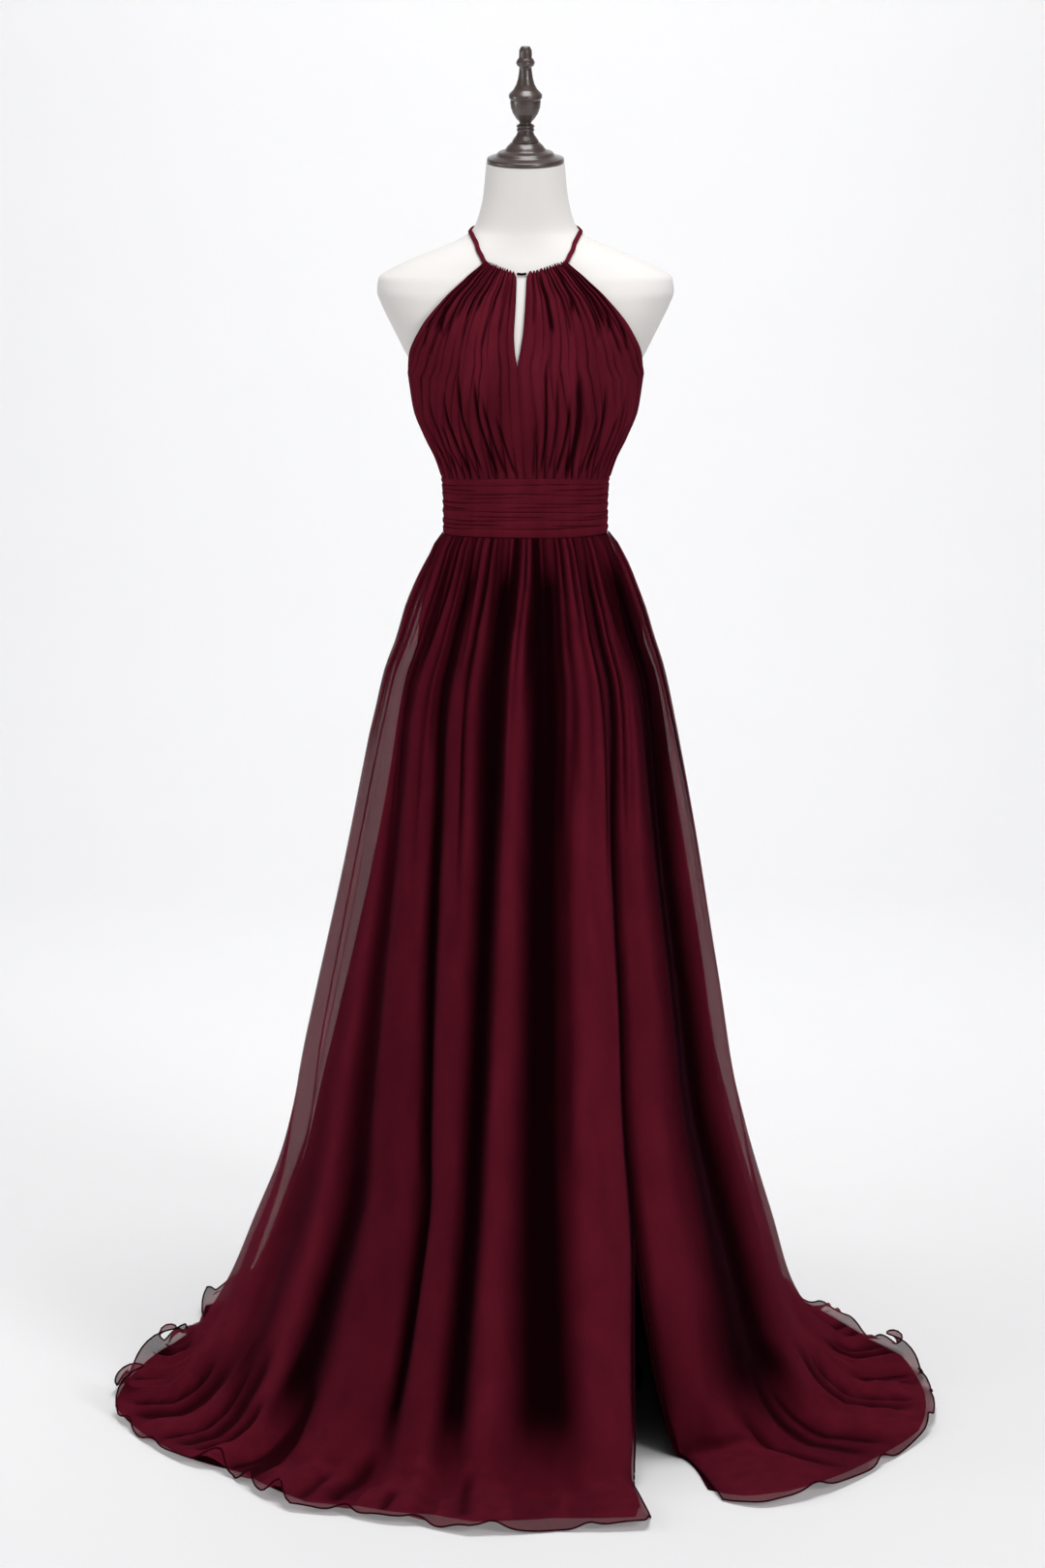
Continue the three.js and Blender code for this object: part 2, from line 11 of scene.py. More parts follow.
import bpy
import numpy as np
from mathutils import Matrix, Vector


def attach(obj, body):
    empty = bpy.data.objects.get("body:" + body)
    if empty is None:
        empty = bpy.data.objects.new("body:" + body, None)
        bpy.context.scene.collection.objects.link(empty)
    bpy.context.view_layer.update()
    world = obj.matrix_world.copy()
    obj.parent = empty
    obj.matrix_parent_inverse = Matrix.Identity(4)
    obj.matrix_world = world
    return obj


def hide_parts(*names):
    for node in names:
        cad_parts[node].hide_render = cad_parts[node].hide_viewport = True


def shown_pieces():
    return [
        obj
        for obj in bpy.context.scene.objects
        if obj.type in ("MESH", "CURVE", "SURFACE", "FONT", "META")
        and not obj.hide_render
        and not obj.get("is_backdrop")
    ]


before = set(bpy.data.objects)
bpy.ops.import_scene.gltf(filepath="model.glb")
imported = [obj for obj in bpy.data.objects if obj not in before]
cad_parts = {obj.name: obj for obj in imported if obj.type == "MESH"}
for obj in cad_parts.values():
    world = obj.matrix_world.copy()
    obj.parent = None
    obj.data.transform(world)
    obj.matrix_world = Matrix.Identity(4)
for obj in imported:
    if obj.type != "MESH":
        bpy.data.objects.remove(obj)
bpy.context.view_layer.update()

MM = 0.001

# %% [markdown]
# The camera, the floor and the light come first, so that every later piece can be looked at as soon
# as it exists. A gown is photographed with a long lens from a little above the waist, so that the
# hem opens into an oval on the floor. The lens is worked out from the picture's height in pixels.

# %% the camera
PICTURE_HEIGHT = 1620
FOCAL_PIXELS = 5075
SENSOR = 36
CAMERA_AT = Vector((-0.0036, -6.0, 1.8))
AIM = Vector((-0.0036, 0.0, 0.765))


def aimed(thing, target):
    thing.rotation_mode = "QUATERNION"
    thing.rotation_quaternion = (target - thing.location).to_track_quat("-Z", "Y")


camera = bpy.data.objects.new("camera", bpy.data.cameras.new("camera"))
camera.data.sensor_width = SENSOR
camera.data.lens = FOCAL_PIXELS / PICTURE_HEIGHT * SENSOR
camera.location = CAMERA_AT
aimed(camera, AIM)
bpy.context.scene.collection.objects.link(camera)
bpy.context.scene.camera = camera
print("lens", round(camera.data.lens, 1), "mm, at", round((AIM - CAMERA_AT).length, 2), "m")

# %% [markdown]
# Soft studio light comes from large sources: a key panel on the right, a weaker one on the left and
# one overhead. The deep folds are dark partly because they see little of those panels and partly
# from painted shade in the chiffon's colour. The last panel washes the backdrop, and the world is a
# pale grey that fills in the rest.

# %% the light
LAMPS = {
    "key_panel": {"at": (2.8, -4.2, 2.3), "size": 1.4, "watts": 93, "aim": (0, 0, 0.8)},
    "fill_panel": {"at": (-3.4, -3.0, 1.8), "size": 2.0, "watts": 25, "aim": (0, 0, 0.8)},
    "top_panel": {"at": (0.2, -0.6, 4.4), "size": 2.0, "watts": 108, "aim": (0, 0, 0.8)},
    "side_panel": {"at": (-2.6, -0.4, 1.1), "size": 1.0, "watts": 13, "aim": (-0.4, -0.1, 0.15)},
    "wall_panel": {"at": (0.0, 2.4, 3.6), "size": 3.0, "watts": 78, "aim": (0, 5.2, 1.0)},
}
WORLD_GREY = 0.80
WORLD_STRENGTH = 0.22

for name, lamp in LAMPS.items():
    light = bpy.data.lights.new(name, "AREA")
    light.shape = "SQUARE"
    light.size = lamp["size"]
    light.energy = lamp["watts"]
    panel = bpy.data.objects.new(name, light)
    panel.location = lamp["at"]
    aimed(panel, Vector(lamp["aim"]))
    bpy.context.scene.collection.objects.link(panel)

world = bpy.data.worlds.new("studio")
world.use_nodes = True
world.node_tree.nodes["Background"].inputs["Color"].default_value = (WORLD_GREY,) * 3 + (1,)
world.node_tree.nodes["Background"].inputs["Strength"].default_value = WORLD_STRENGTH
bpy.context.scene.world = world
bpy.context.scene.view_settings.view_transform = "Standard"
print(len(LAMPS), "light panels")

# %% [markdown]
# The floor runs back and turns up into a backdrop in one smooth bend, as studio paper does.

# %% the floor and backdrop
FLOOR_HALF_WIDTH = 9.0
FLOOR_FRONT = -9.0
BEND_AT = 3.2
BEND_RADIUS = 2.0
WALL_TOP = 9.0
BEND_STEPS = 24


def mesh_object(name, points, faces, sharp_degrees=60):
    mesh = bpy.data.meshes.new(name)
    mesh.from_pydata(points, [], faces)
    mesh.validate()
    mesh.shade_smooth()
    mesh.set_sharp_from_angle(angle=math.radians(sharp_degrees))
    thing = bpy.data.objects.new(name, mesh)
    bpy.context.scene.collection.objects.link(thing)
    return thing


def paper_line():
    line = [(FLOOR_FRONT, 0.0), (BEND_AT, 0.0)]
    for i in range(1, BEND_STEPS + 1):
        turn = math.pi / 2 * i / BEND_STEPS
        line.append((BEND_AT + BEND_RADIUS * math.sin(turn), BEND_RADIUS * (1 - math.cos(turn))))
    line.append((BEND_AT + BEND_RADIUS, WALL_TOP))
    return line


line = paper_line()
points = [(x, y, z) for y, z in line for x in (-FLOOR_HALF_WIDTH, FLOOR_HALF_WIDTH)]
faces = [(2 * i, 2 * i + 1, 2 * i + 3, 2 * i + 2) for i in range(len(line) - 1)]
paper = mesh_object("studio_paper", points, faces)
paper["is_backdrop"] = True

# %% [markdown]
# Every finish is a node material with its own grain. They share a few helpers: a fresh material, a
# noise in the object's own space (stretched along a direction for threads and wood), and a bump.
# A plain number or colour goes on the socket that it belongs to, by its name.

# %% helpers for finishes
def finish_nodes(name):
    material = bpy.data.materials.new(name)
    material.use_nodes = True
    tree = material.node_tree
    return material, tree.nodes, tree.links, tree.nodes["Principled BSDF"]


def set_inputs(node, **values):
    """Sets the sockets of a node by name, with an underscore for each space."""
    for name, value in values.items():
        node.inputs[name.replace("_", " ")].default_value = value


def grain(nodes, links, scale, stretch=(1, 1, 1), detail=4):
    place = nodes.new("ShaderNodeTexCoord")
    stretched = nodes.new("ShaderNodeMapping")
    noise = nodes.new("ShaderNodeTexNoise")
    set_inputs(stretched, Scale=stretch)
    set_inputs(noise, Scale=scale, Detail=detail)
    links.new(place.outputs["Object"], stretched.inputs["Vector"])
    links.new(stretched.outputs["Vector"], noise.inputs["Vector"])
    return noise.outputs["Fac"]


WAVES_PER_SCALE = 20


def threads(nodes, links, direction, pitch):
    place = nodes.new("ShaderNodeTexCoord")
    wave = nodes.new("ShaderNodeTexWave")
    wave.bands_direction = direction
    set_inputs(wave, Scale=math.tau / WAVES_PER_SCALE / pitch, Distortion=1.5, Detail_Scale=2)
    links.new(place.outputs["Object"], wave.inputs["Vector"])
    return wave.outputs["Fac"]


def blend_colours(nodes, links, factor, low, high):
    mixer = nodes.new("ShaderNodeMix")
    mixer.data_type = "RGBA"
    links.new(factor, mixer.inputs["Factor"])
    set_inputs(mixer, A=(*low, 1), B=(*high, 1))
    return mixer.outputs["Result"]


def bump(nodes, links, height, strength, depth, under=None):
    relief = nodes.new("ShaderNodeBump")
    set_inputs(relief, Strength=strength, Distance=depth)
    links.new(height, relief.inputs["Height"])
    if under is not None:
        links.new(under, relief.inputs["Normal"])
    return relief.outputs["Normal"]


# %% [markdown]
# Chiffon is a fine crinkled crepe, matt but for a faint sheen at its edges. Its hollows are painted
# darker than its crests: painted shade. Each cloth mesh carries a value named crest, its painted light
# and shade, from 0 in a hollow to 1 on a crest or where thin cloth is painted lit. The material mixes
# its painted shade colour and its lit colour by it. The sheer one has a plain alpha.

# %% the chiffon
THREAD_PITCH = 0.0011
CREPE_SCALE = 330
STREAK = (1, 1, 0.12)
STREAK_SCALE = 46


def chiffon(name, painted_lit_colour, painted_shade_colour, alpha=1.0):
    material, nodes, links, shader = finish_nodes(name)
    # The crest value is painted light and shade: the painted shade colour in hollows, the lit colour on
    # crests.
    crest = nodes.new("ShaderNodeAttribute")
    crest.attribute_name = "crest"
    base = blend_colours(nodes, links, crest.outputs["Fac"], painted_shade_colour, painted_lit_colour)
    streaks = grain(nodes, links, STREAK_SCALE, STREAK, 5)
    shade = nodes.new("ShaderNodeMapRange")
    set_inputs(shade, From_Min=0.3, From_Max=0.7, To_Min=0.82, To_Max=1.12)
    links.new(streaks, shade.inputs["Value"])
    tinted = nodes.new("ShaderNodeVectorMath")
    tinted.operation = "SCALE"
    links.new(base, tinted.inputs[0])
    links.new(shade.outputs["Result"], tinted.inputs["Scale"])
    links.new(tinted.outputs["Vector"], shader.inputs["Base Color"])
    crepe = bump(nodes, links, grain(nodes, links, CREPE_SCALE, (1, 1, 0.5), 3), 0.25, 0.0006)
    weft = bump(nodes, links, threads(nodes, links, "Z", THREAD_PITCH), 0.12, 0.0002, crepe)
    warp = bump(nodes, links, threads(nodes, links, "X", THREAD_PITCH), 0.12, 0.0002, weft)
    links.new(warp, shader.inputs["Normal"])
    set_inputs(shader, Roughness=0.6, Specular_IOR_Level=0, Alpha=alpha)
    set_inputs(shader, Sheen_Weight=0.04, Sheen_Roughness=0.5, Sheen_Tint=(0.85, 0.2, 0.40, 1))
    return material


# Each chiffon's first colour is its painted lit colour and its second its painted shade colour. The hem
# thread carries no crest value and shows only its second colour, the thread's own dark tone.
BODICE_CHIFFON = chiffon("burgundy_chiffon", (0.105, 0.0085, 0.018), (0.009, 0.0006, 0.0015))
SHEER_CHIFFON = chiffon("sheer_burgundy_chiffon", (0.134, 0.0092, 0.022), (0.005, 0.0004, 0.0008), 0.52)
HEM_THREAD = chiffon("rolled_hem_thread", (0.03, 0.0025, 0.006), (0.02, 0.0015, 0.004))

# %% [markdown]
# The lining is a plain dull satin with a fine grain across. It only shows through the sheer skirt,
# and it is darker than the chiffon, so that the skirt's own folds stand out in front of it.

# %% the lining satin
def lining_satin():
    material, nodes, links, shader = finish_nodes("lining_satin")
    tone = grain(nodes, links, 24, STREAK)
    base = blend_colours(nodes, links, tone, (0.02, 0.0018, 0.004), (0.034, 0.003, 0.007))
    links.new(base, shader.inputs["Base Color"])
    weave = bump(nodes, links, threads(nodes, links, "Z", THREAD_PITCH), 0.1, 0.0002)
    links.new(weave, shader.inputs["Normal"])
    set_inputs(shader, Roughness=0.55, Specular_IOR_Level=0)
    return material


LINING_SATIN = lining_satin()

# %% [markdown]
# The form wears a stretched jersey cover. Its knit is far finer than the gown's folds, so a fine
# bump and a slight change of tone are enough.

# %% the jersey
def jersey():
    material, nodes, links, shader = finish_nodes("off_white_jersey")
    tone = grain(nodes, links, 9, (1, 1, 1), 5)
    base = blend_colours(nodes, links, tone, (0.70, 0.675, 0.655), (0.77, 0.75, 0.73))
    links.new(base, shader.inputs["Base Color"])
    ribs = bump(nodes, links, threads(nodes, links, "X", 0.0014), 0.12, 0.0003)
    rows = bump(nodes, links, threads(nodes, links, "Z", 0.0018), 0.1, 0.0003, ribs)
    links.new(rows, shader.inputs["Normal"])
    set_inputs(shader, Roughness=0.75, Specular_IOR_Level=0.3, Sheen_Weight=0.15)
    return material


JERSEY = jersey()

# %% [markdown]
# The neck's cap and finial are turned from a close-grained wood, stained dark and rubbed to a satin
# varnish. The grain runs up the piece, so the noise is stretched along its height.

# %% the turned wood
def varnished_wood():
    material, nodes, links, shader = finish_nodes("dark_varnished_wood")
    figure = grain(nodes, links, 60, (1, 1, 0.1), 6)
    base = blend_colours(nodes, links, figure, (0.022, 0.014, 0.013), (0.085, 0.056, 0.05))
    links.new(base, shader.inputs["Base Color"])
    pores = bump(nodes, links, grain(nodes, links, 500, (1, 1, 0.08), 2), 0.15, 0.0003)
    links.new(pores, shader.inputs["Normal"])
    set_inputs(shader, Roughness=0.34, Coat_Weight=0.6, Coat_Roughness=0.22)
    return material


WOOD = varnished_wood()

# %% [markdown]
# The pole and the base are steel with a brushed finish. The brush marks run round the base, so a
# noise squeezed along the height gives them on the pole, and a fine one does for the disc.

# %% the brushed steel
def brushed_steel():
    material, nodes, links, shader = finish_nodes("brushed_steel")
    marks = grain(nodes, links, 90, (1, 1, 12), 5)
    base = blend_colours(nodes, links, marks, (0.36, 0.36, 0.37), (0.5, 0.5, 0.51))
    links.new(base, shader.inputs["Base Color"])
    links.new(bump(nodes, links, marks, 0.1, 0.0003), shader.inputs["Normal"])
    set_inputs(shader, Metallic=1.0, Roughness=0.36)
    return material


STEEL = brushed_steel()

# %% [markdown]
# The studio paper is pale and matt. Only its front is seen: its back is clear, so that a camera
# behind the backdrop still sees the gown.

# %% the studio paper
def pale_paper():
    material, nodes, links, shader = finish_nodes("studio_paper")
    tone = grain(nodes, links, 3)
    base = blend_colours(nodes, links, tone, (0.87, 0.87, 0.88), (0.89, 0.89, 0.90))
    links.new(base, shader.inputs["Base Color"])
    set_inputs(shader, Roughness=0.9, Specular_IOR_Level=0.1)
    side = nodes.new("ShaderNodeNewGeometry")
    clear = nodes.new("ShaderNodeBsdfTransparent")
    one_sided = nodes.new("ShaderNodeMixShader")
    links.new(side.outputs["Backfacing"], one_sided.inputs[0])
    links.new(shader.outputs["BSDF"], one_sided.inputs[1])
    links.new(clear.outputs["BSDF"], one_sided.inputs[2])
    links.new(one_sided.outputs[0], nodes["Material Output"].inputs["Surface"])
    return material


paper.data.materials.append(pale_paper())
print(len(bpy.data.materials), "finishes")

# %% [markdown]
# The gown and its form are described by tables of sizes, read through one smooth curve that never
# overshoots its rows. The same tables and curve made the solids, so a fine shell lies on its solid.

# %% tables and the curve through them
NONE = float("nan")


def table(names, rows):
    return {name: np.array([row[i] for row in rows], float) for i, name in enumerate(names.split())}


def mix(a, b, share):
    return a + (b - a) * share


def clamp(x):
    return np.clip(x, 0, 1)


def smooth(x):
    return clamp(x) ** 2 * (3 - 2 * clamp(x))


def power(x, p):
    return np.sign(x) * np.abs(x) ** p


def curve_through(xs, ys, at):
    """Reads a smooth curve through the points at new places, with no overshoot between them."""
    at = np.clip(at, xs[0], xs[-1])
    step = np.diff(xs)
    slope = np.diff(ys) / step
    bend = np.zeros(len(xs))
    bend[0], bend[-1] = slope[0], slope[-1]
    for i in range(1, len(slope)):
        if slope[i - 1] * slope[i] > 0:
            bend[i] = 2 * slope[i - 1] * slope[i] / (slope[i - 1] + slope[i])
    i = np.clip(np.searchsorted(xs, at, side="right") - 1, 0, len(step) - 1)
    u = (at - xs[i]) / step[i]
    rise = (1 - u) ** 2 * u * bend[i] * step[i] - (1 - u) * u * u * bend[i + 1] * step[i]
    return ys[i] + (ys[i + 1] - ys[i]) * smooth(u) + rise


def read(rows, column, z):
    return curve_through(rows["z"], rows[column], z)


# %% [markdown]
# The dress form is a stack of soft ovals: each level has a half width, a depth to the front and
# back, and a number that makes the oval squarer. A gentle swell is the bust. A point on it is found
# from an angle, counted from the front, and a height.

# %% the form's sizes
FORM = table("z width front back square", [
    [840, 126, 88, 96, 2],
    [880, 136, 94, 107, 2],
    [898, 137, 95, 108, 2],
    [930, 131, 93, 106, 2],
    [960, 121, 88, 99, 2],
    [1005, 110.5, 82, 89, 2],
    [1035, 105, 79.5, 83, 2],
    [1060, 100.5, 77.5, 78.5, 2],
    [1078.7, 97.5, 76.5, 76, 2],
    [1110, 96.5, 76.5, 74, 2.03],
    [1142, 98.5, 80, 74.5, 2.07],
    [1170, 105, 87, 78, 2.15],
    [1200, 118, 97, 85, 2.2],
    [1232, 130.5, 105, 92, 2.2],
    [1262, 135.5, 109, 97, 2.2],
    [1284, 139, 108, 100, 2.2],
    [1305, 149, 104, 101, 2.25],
    [1335, 164, 96, 101, 2.3],
    [1360, 176, 87, 98, 2.35],
    [1375, 181, 81, 95, 2.4],
    [1391, 179, 73.5, 90, 2.4],
    [1401, 164, 68, 86, 2.4],
    [1412, 142, 63, 80, 2.35],
    [1425, 110, 57, 72, 2.25],
    [1438, 80, 52.5, 64, 2.1],
    [1450, 64, 49.5, 59, 2],
    [1466, 57, 48, 55, 2],
    [1490, 51.5, 47, 50.5, 2],
    [1530, 47.5, 46, 47, 2],
])
NECK_TOP = 1530
NECK_TILTS_FROM = 1490
NECK_LEAN = math.radians(7)
BUST = {"height": 1250, "apart": 60, "depth": 7, "width": 36, "tall": 38}
NORMAL_STEP = 0.4


def on_form(angle, z):
    angle, z = np.broadcast_arrays(np.radians(angle), np.asarray(z, float))
    facing = np.cos(angle)
    square = read(FORM, "square", z)
    depth = np.where(facing > 0, read(FORM, "front", z), read(FORM, "back", z))
    x = read(FORM, "width", z) * power(np.sin(angle), 2 / square)
    aside = (np.abs(x) - BUST["apart"]) / BUST["width"]
    above = (z - BUST["height"]) / BUST["tall"]
    bust = BUST["depth"] * np.maximum(facing, 0) * np.exp(-(aside**2) - above**2)
    return np.stack([x, -depth * power(facing, 2 / square) - bust, z], -1)


def form_normal(angle, z):
    across = on_form(angle + NORMAL_STEP, z) - on_form(angle - NORMAL_STEP, z)
    up = on_form(angle, z + 2 * NORMAL_STEP) - on_form(angle, z - 2 * NORMAL_STEP)
    normal = np.cross(across, up)
    return normal / np.linalg.norm(normal, axis=-1, keepdims=True)


def off_form(angle, z, distance):
    return on_form(angle, z) + form_normal(angle, z) * np.asarray(distance)[..., None]


def angle_at(x, z):
    share = np.minimum(np.abs(x) / read(FORM, "width", z), 1)
    return np.degrees(np.sign(x) * np.arcsin(share ** (read(FORM, "square", z) / 2)))


# %% [markdown]
# Two kinds of mesh cover nearly everything here. A closed skin runs through rings, one below the
# other. A shell of cloth is an outer grid of points, with an inner one a cloth's thickness inside
# it, joined round the edges. Each is made from arrays of points, which is quick for fine meshes.

# %% skins and shells
def grid_faces(marks, outward=True):
    corners = (marks[:-1, :-1], marks[1:, :-1], marks[1:, 1:], marks[:-1, 1:])
    corners = corners if outward else corners[::-1]
    return np.stack([c.ravel() for c in corners], -1).tolist()


def rings_object(name, rings):
    """A closed skin through rings that run downwards, capped at both ends."""
    count, around = rings.shape[:2]
    marks = np.arange(count * around).reshape(count, around)
    faces = grid_faces(np.hstack([marks, marks[:, :1]]))
    faces.append(marks[0].tolist())
    faces.append(marks[-1][::-1].tolist())
    return mesh_object(name, (rings.reshape(-1, 3) * MM).tolist(), faces)


def grid_normals(grid):
    down, across = np.gradient(grid, axis=0), np.gradient(grid, axis=1)
    normal = np.cross(down, across)
    return normal / np.maximum(np.linalg.norm(normal, axis=-1, keepdims=True), 1e-9)


def mark_painted_light(thing, values):
    """Stores the painted light and shade of each point, from 0 in a hollow to 1 on a crest, for the chiffon
    to read.
    """
    crest = thing.data.attributes.new("crest", "FLOAT", "POINT")
    crest.data.foreach_set("value", values.astype(np.float32))
    return thing


def shell_object(name, outer, thickness, crest=None):
    """A thin closed shell of cloth. Rows run down it and columns run from left to right."""
    inner = outer - grid_normals(outer) * thickness
    rows, columns = outer.shape[:2]
    marks = np.arange(rows * columns).reshape(rows, columns)
    under = marks + rows * columns
    faces = grid_faces(marks) + grid_faces(under, outward=False)
    rims = [[m[0], m[1:, -1], m[-1, -2::-1], m[-2:0:-1, 0], m[0, :1]] for m in (marks, under)]
    upper, lower = (np.concatenate(rim) for rim in rims)
    faces += np.stack([upper[:-1], upper[1:], lower[1:], lower[:-1]], -1).tolist()
    points = np.concatenate([outer.reshape(-1, 3), inner.reshape(-1, 3)])
    thing = mesh_object(name, (points * MM).tolist(), faces)
    # The crest values are the cloth's painted light and shade; both faces of the shell get the same.
    shade = np.ones(rows * columns) if crest is None else clamp(crest).ravel()
    return mark_painted_light(thing, np.concatenate([shade, shade]))


def tube_object(name, path, radius, sides=8):
    """A closed round tube along a line of points, for rolled hems and cords."""
    along = np.gradient(path, axis=0)
    along /= np.maximum(np.linalg.norm(along, axis=-1, keepdims=True), 1e-9)
    aside = np.cross(along, (0, 0, 1))
    flat = np.linalg.norm(aside, axis=-1) < 0.2
    aside[flat] = np.cross(along[flat], (0, 1, 0))
    aside /= np.linalg.norm(aside, axis=-1, keepdims=True)
    upward = np.cross(aside, along)
    turn = np.arange(sides) * math.tau / sides
    ring = aside[:, None] * np.cos(turn)[:, None] + upward[:, None] * np.sin(turn)[:, None]
    return rings_object(name, path[:, None] + ring * radius)


def dressed(thing, finish, slot, *nodes):
    """Gives a piece its finish, hangs it on the root and hides the solids it stands for."""
    thing.data.materials.append(finish)
    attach(thing, "root")
    if nodes:
        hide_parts(*nodes)
    return thing


def triangles(thing):
    return sum(len(face.vertices) - 2 for face in thing.data.polygons)


def tell_cloth(name, thing):
    """Prints how fine a piece of cloth is, and the area of one face of it."""
    area = sum(face.area for face in thing.data.polygons) / 2
    print(name, triangles(thing), "triangles,", round(area, 4), "square metres")


# %% [markdown]
# The form itself: the jersey skin follows the ovals closely, and its neck is cut at a lean.

# %% the dress form
FORM_AROUND = 180
FORM_LEVELS = 210

levels = np.linspace(FORM["z"][-1], FORM["z"][0], FORM_LEVELS)
angles = np.arange(FORM_AROUND) * 360 / FORM_AROUND
rings = on_form(angles[None, :], levels[:, None])
tilted = clamp((levels - NECK_TILTS_FROM) / (NECK_TOP - NECK_TILTS_FROM))
rings[..., 2] += tilted[:, None] * math.tan(NECK_LEAN) * rings[..., 1]
torso = dressed(rings_object("dress_form", rings), JERSEY, "form_jersey", "form_torso")
print("form of", triangles(torso), "triangles")

# %% [markdown]
# The cap, the finial and the stand are turned pieces: a profile spun round an axis. A woodturner's
# tool never leaves a knife edge, so every corner of a profile is eased by a small curve first.

# %% turned pieces
CORNER_POINTS = 4
TURN_STEPS = 72


def eased(profile, radius):
    """The profile with each inner corner replaced by a short curve."""
    profile = np.array(profile, float)
    line = [profile[0]]
    for before, corner, after in zip(profile, profile[1:], profile[2:]):
        start, end = before - corner, after - corner
        start = corner + start * min(radius / np.linalg.norm(start), 0.5)
        end = corner + end * min(radius / np.linalg.norm(end), 0.5)
        for share in np.linspace(0, 1, CORNER_POINTS):
            line.append(mix(mix(start, corner, share), mix(corner, end, share), share))
    line.append(profile[-1])
    return np.array(line)


def turned_object(name, profile, radius, lift=0, lean=0):
    line = eased(profile, radius)[1:-1][::-1]
    turn = np.arange(TURN_STEPS) * math.tau / TURN_STEPS
    rings = np.stack([
        line[:, :1] * np.sin(turn),
        -line[:, :1] * np.cos(turn),
        np.repeat(line[:, 1:], TURN_STEPS, axis=1),
    ], -1)
    y, z = rings[..., 1].copy(), rings[..., 2].copy()
    rings[..., 1] = y * math.cos(lean) - z * math.sin(lean)
    rings[..., 2] = y * math.sin(lean) + z * math.cos(lean) + lift
    return rings_object(name, rings)


CAP = [
    [0, 0.3], [46.4, 0.3], [47.2, 3], [46.4, 5.8], [36, 9], [33, 13], [25, 15.5], [22, 20], [17, 25],
    [0, 25],
]
FINIAL = [
    [0, 25.3], [16.5, 25.3], [15, 28.5], [11.2, 33.5], [9.4, 37.6], [10.7, 39], [10.7, 41],
    [9.3, 42.2], [10.9, 43.4], [10.9, 45.4], [6.9, 47.8], [8, 50], [11.6, 54], [15.4, 60], [17.8, 67],
    [18.6, 73], [18.4, 77], [20.1, 78.6], [20.3, 82.6], [18.4, 85], [14.6, 89], [11.2, 95], [8.9, 103],
    [7.7, 112], [7.4, 115.5], [10.2, 118], [11.4, 121.4], [9.8, 125], [7.8, 127.6], [7.9, 132],
    [7.6, 136.5], [5.4, 140.6], [0, 142],
]
BASE = [[0, 0], [150, 0], [150, 8], [142, 13], [40, 18], [24, 24], [0, 24]]
POLE = [[0, 24.3], [14, 24.3], [14, 839.7], [0, 839.7]]

cap = turned_object("turned_cap", CAP, 1.2, NECK_TOP, NECK_LEAN)
dressed(cap, WOOD, "turned_wood", "neck_cap")
finial = turned_object("turned_finial", FINIAL, 0.7, NECK_TOP, NECK_LEAN)
dressed(finial, WOOD, "turned_wood", "finial")
base = dressed(turned_object("round_base", BASE, 2), STEEL, "stand_steel", "stand_base")
pole = dressed(turned_object("pole", POLE, 1), STEEL, "stand_steel", "stand_pole")
print("turned pieces:", [triangles(piece) for piece in (cap, finial, base, pole)])

# %% [markdown]
# The skirt hangs in eighteen large folds. One table gives its rows from the waist to the hem,
# measured to the hollows between the folds, and another gives each fold's place, height and width.
# Near the floor the folds turn upright and run out over the train.

# %% the skirt's sizes
SKIRT = table("z left right front back tilt fold gather trail lining", [
    [1078.7, 101.2, 101.2, 80.2, 79.6, 0, 0, 2.4, 0, 0.7],
    [1035, 111, 112, 95, 101, 12, 1.5, 4.6, 0, NONE],
    [1005, 118, 121, 108, 115, 14, 3, 5.4, 0, 3.6],
    [960, 130, 135, 125, 137, 15, 6, 5, 0, NONE],
    [898, 153, 159, 149, 163, 14, 10, 3.4, 0, 3.8],
    [760, 177, 181, 184, 207, 11, 17.5, 0.8, 0, 4.2],
    [655, 198, 198, 217, 241, 12, 19.5, 0, 0, NONE],
    [532, 226, 218, 256, 283, 13, 20.5, 0, 0, 4.2],
    [408, 256, 235, 298, 328, 15, 21.5, 0, 0, 4.2],
    [284, 288, 269, 343, 379, 18, 22, 0, 0, 6.4],
    [190, 326, 298, 380, 421, 22, 22, 0, 0, NONE],
    [110, 361, 323, 420, 466, 27, 20.5, 0, 0, 7],
    [55, 395, 356, 451, 497, 36, 18, 0, 0, 7],
    [20, 423, 388, 472, 525, 52, 15, 0, 0, 10],
    [2.1, 460, 428, 500, 562, 90, 12, 0, 0, 0.3],
    [2.1, 512, 502, 590, 671, 90, 9, 0, 0.8, 0.3],
    [0, 525, 520, 612, 698, 90, 8, 0, 1, NONE],
])
SEAM_GAP = 0.3
SKIRT_CLOTH = 2.2
STRAIGHT_DOWN = 0.75
WAIST, HIP, KNEE, SHIN = 1079, 925, 690, 300
FRONT_FOLDS = 8
SLIT_FOLD = 6

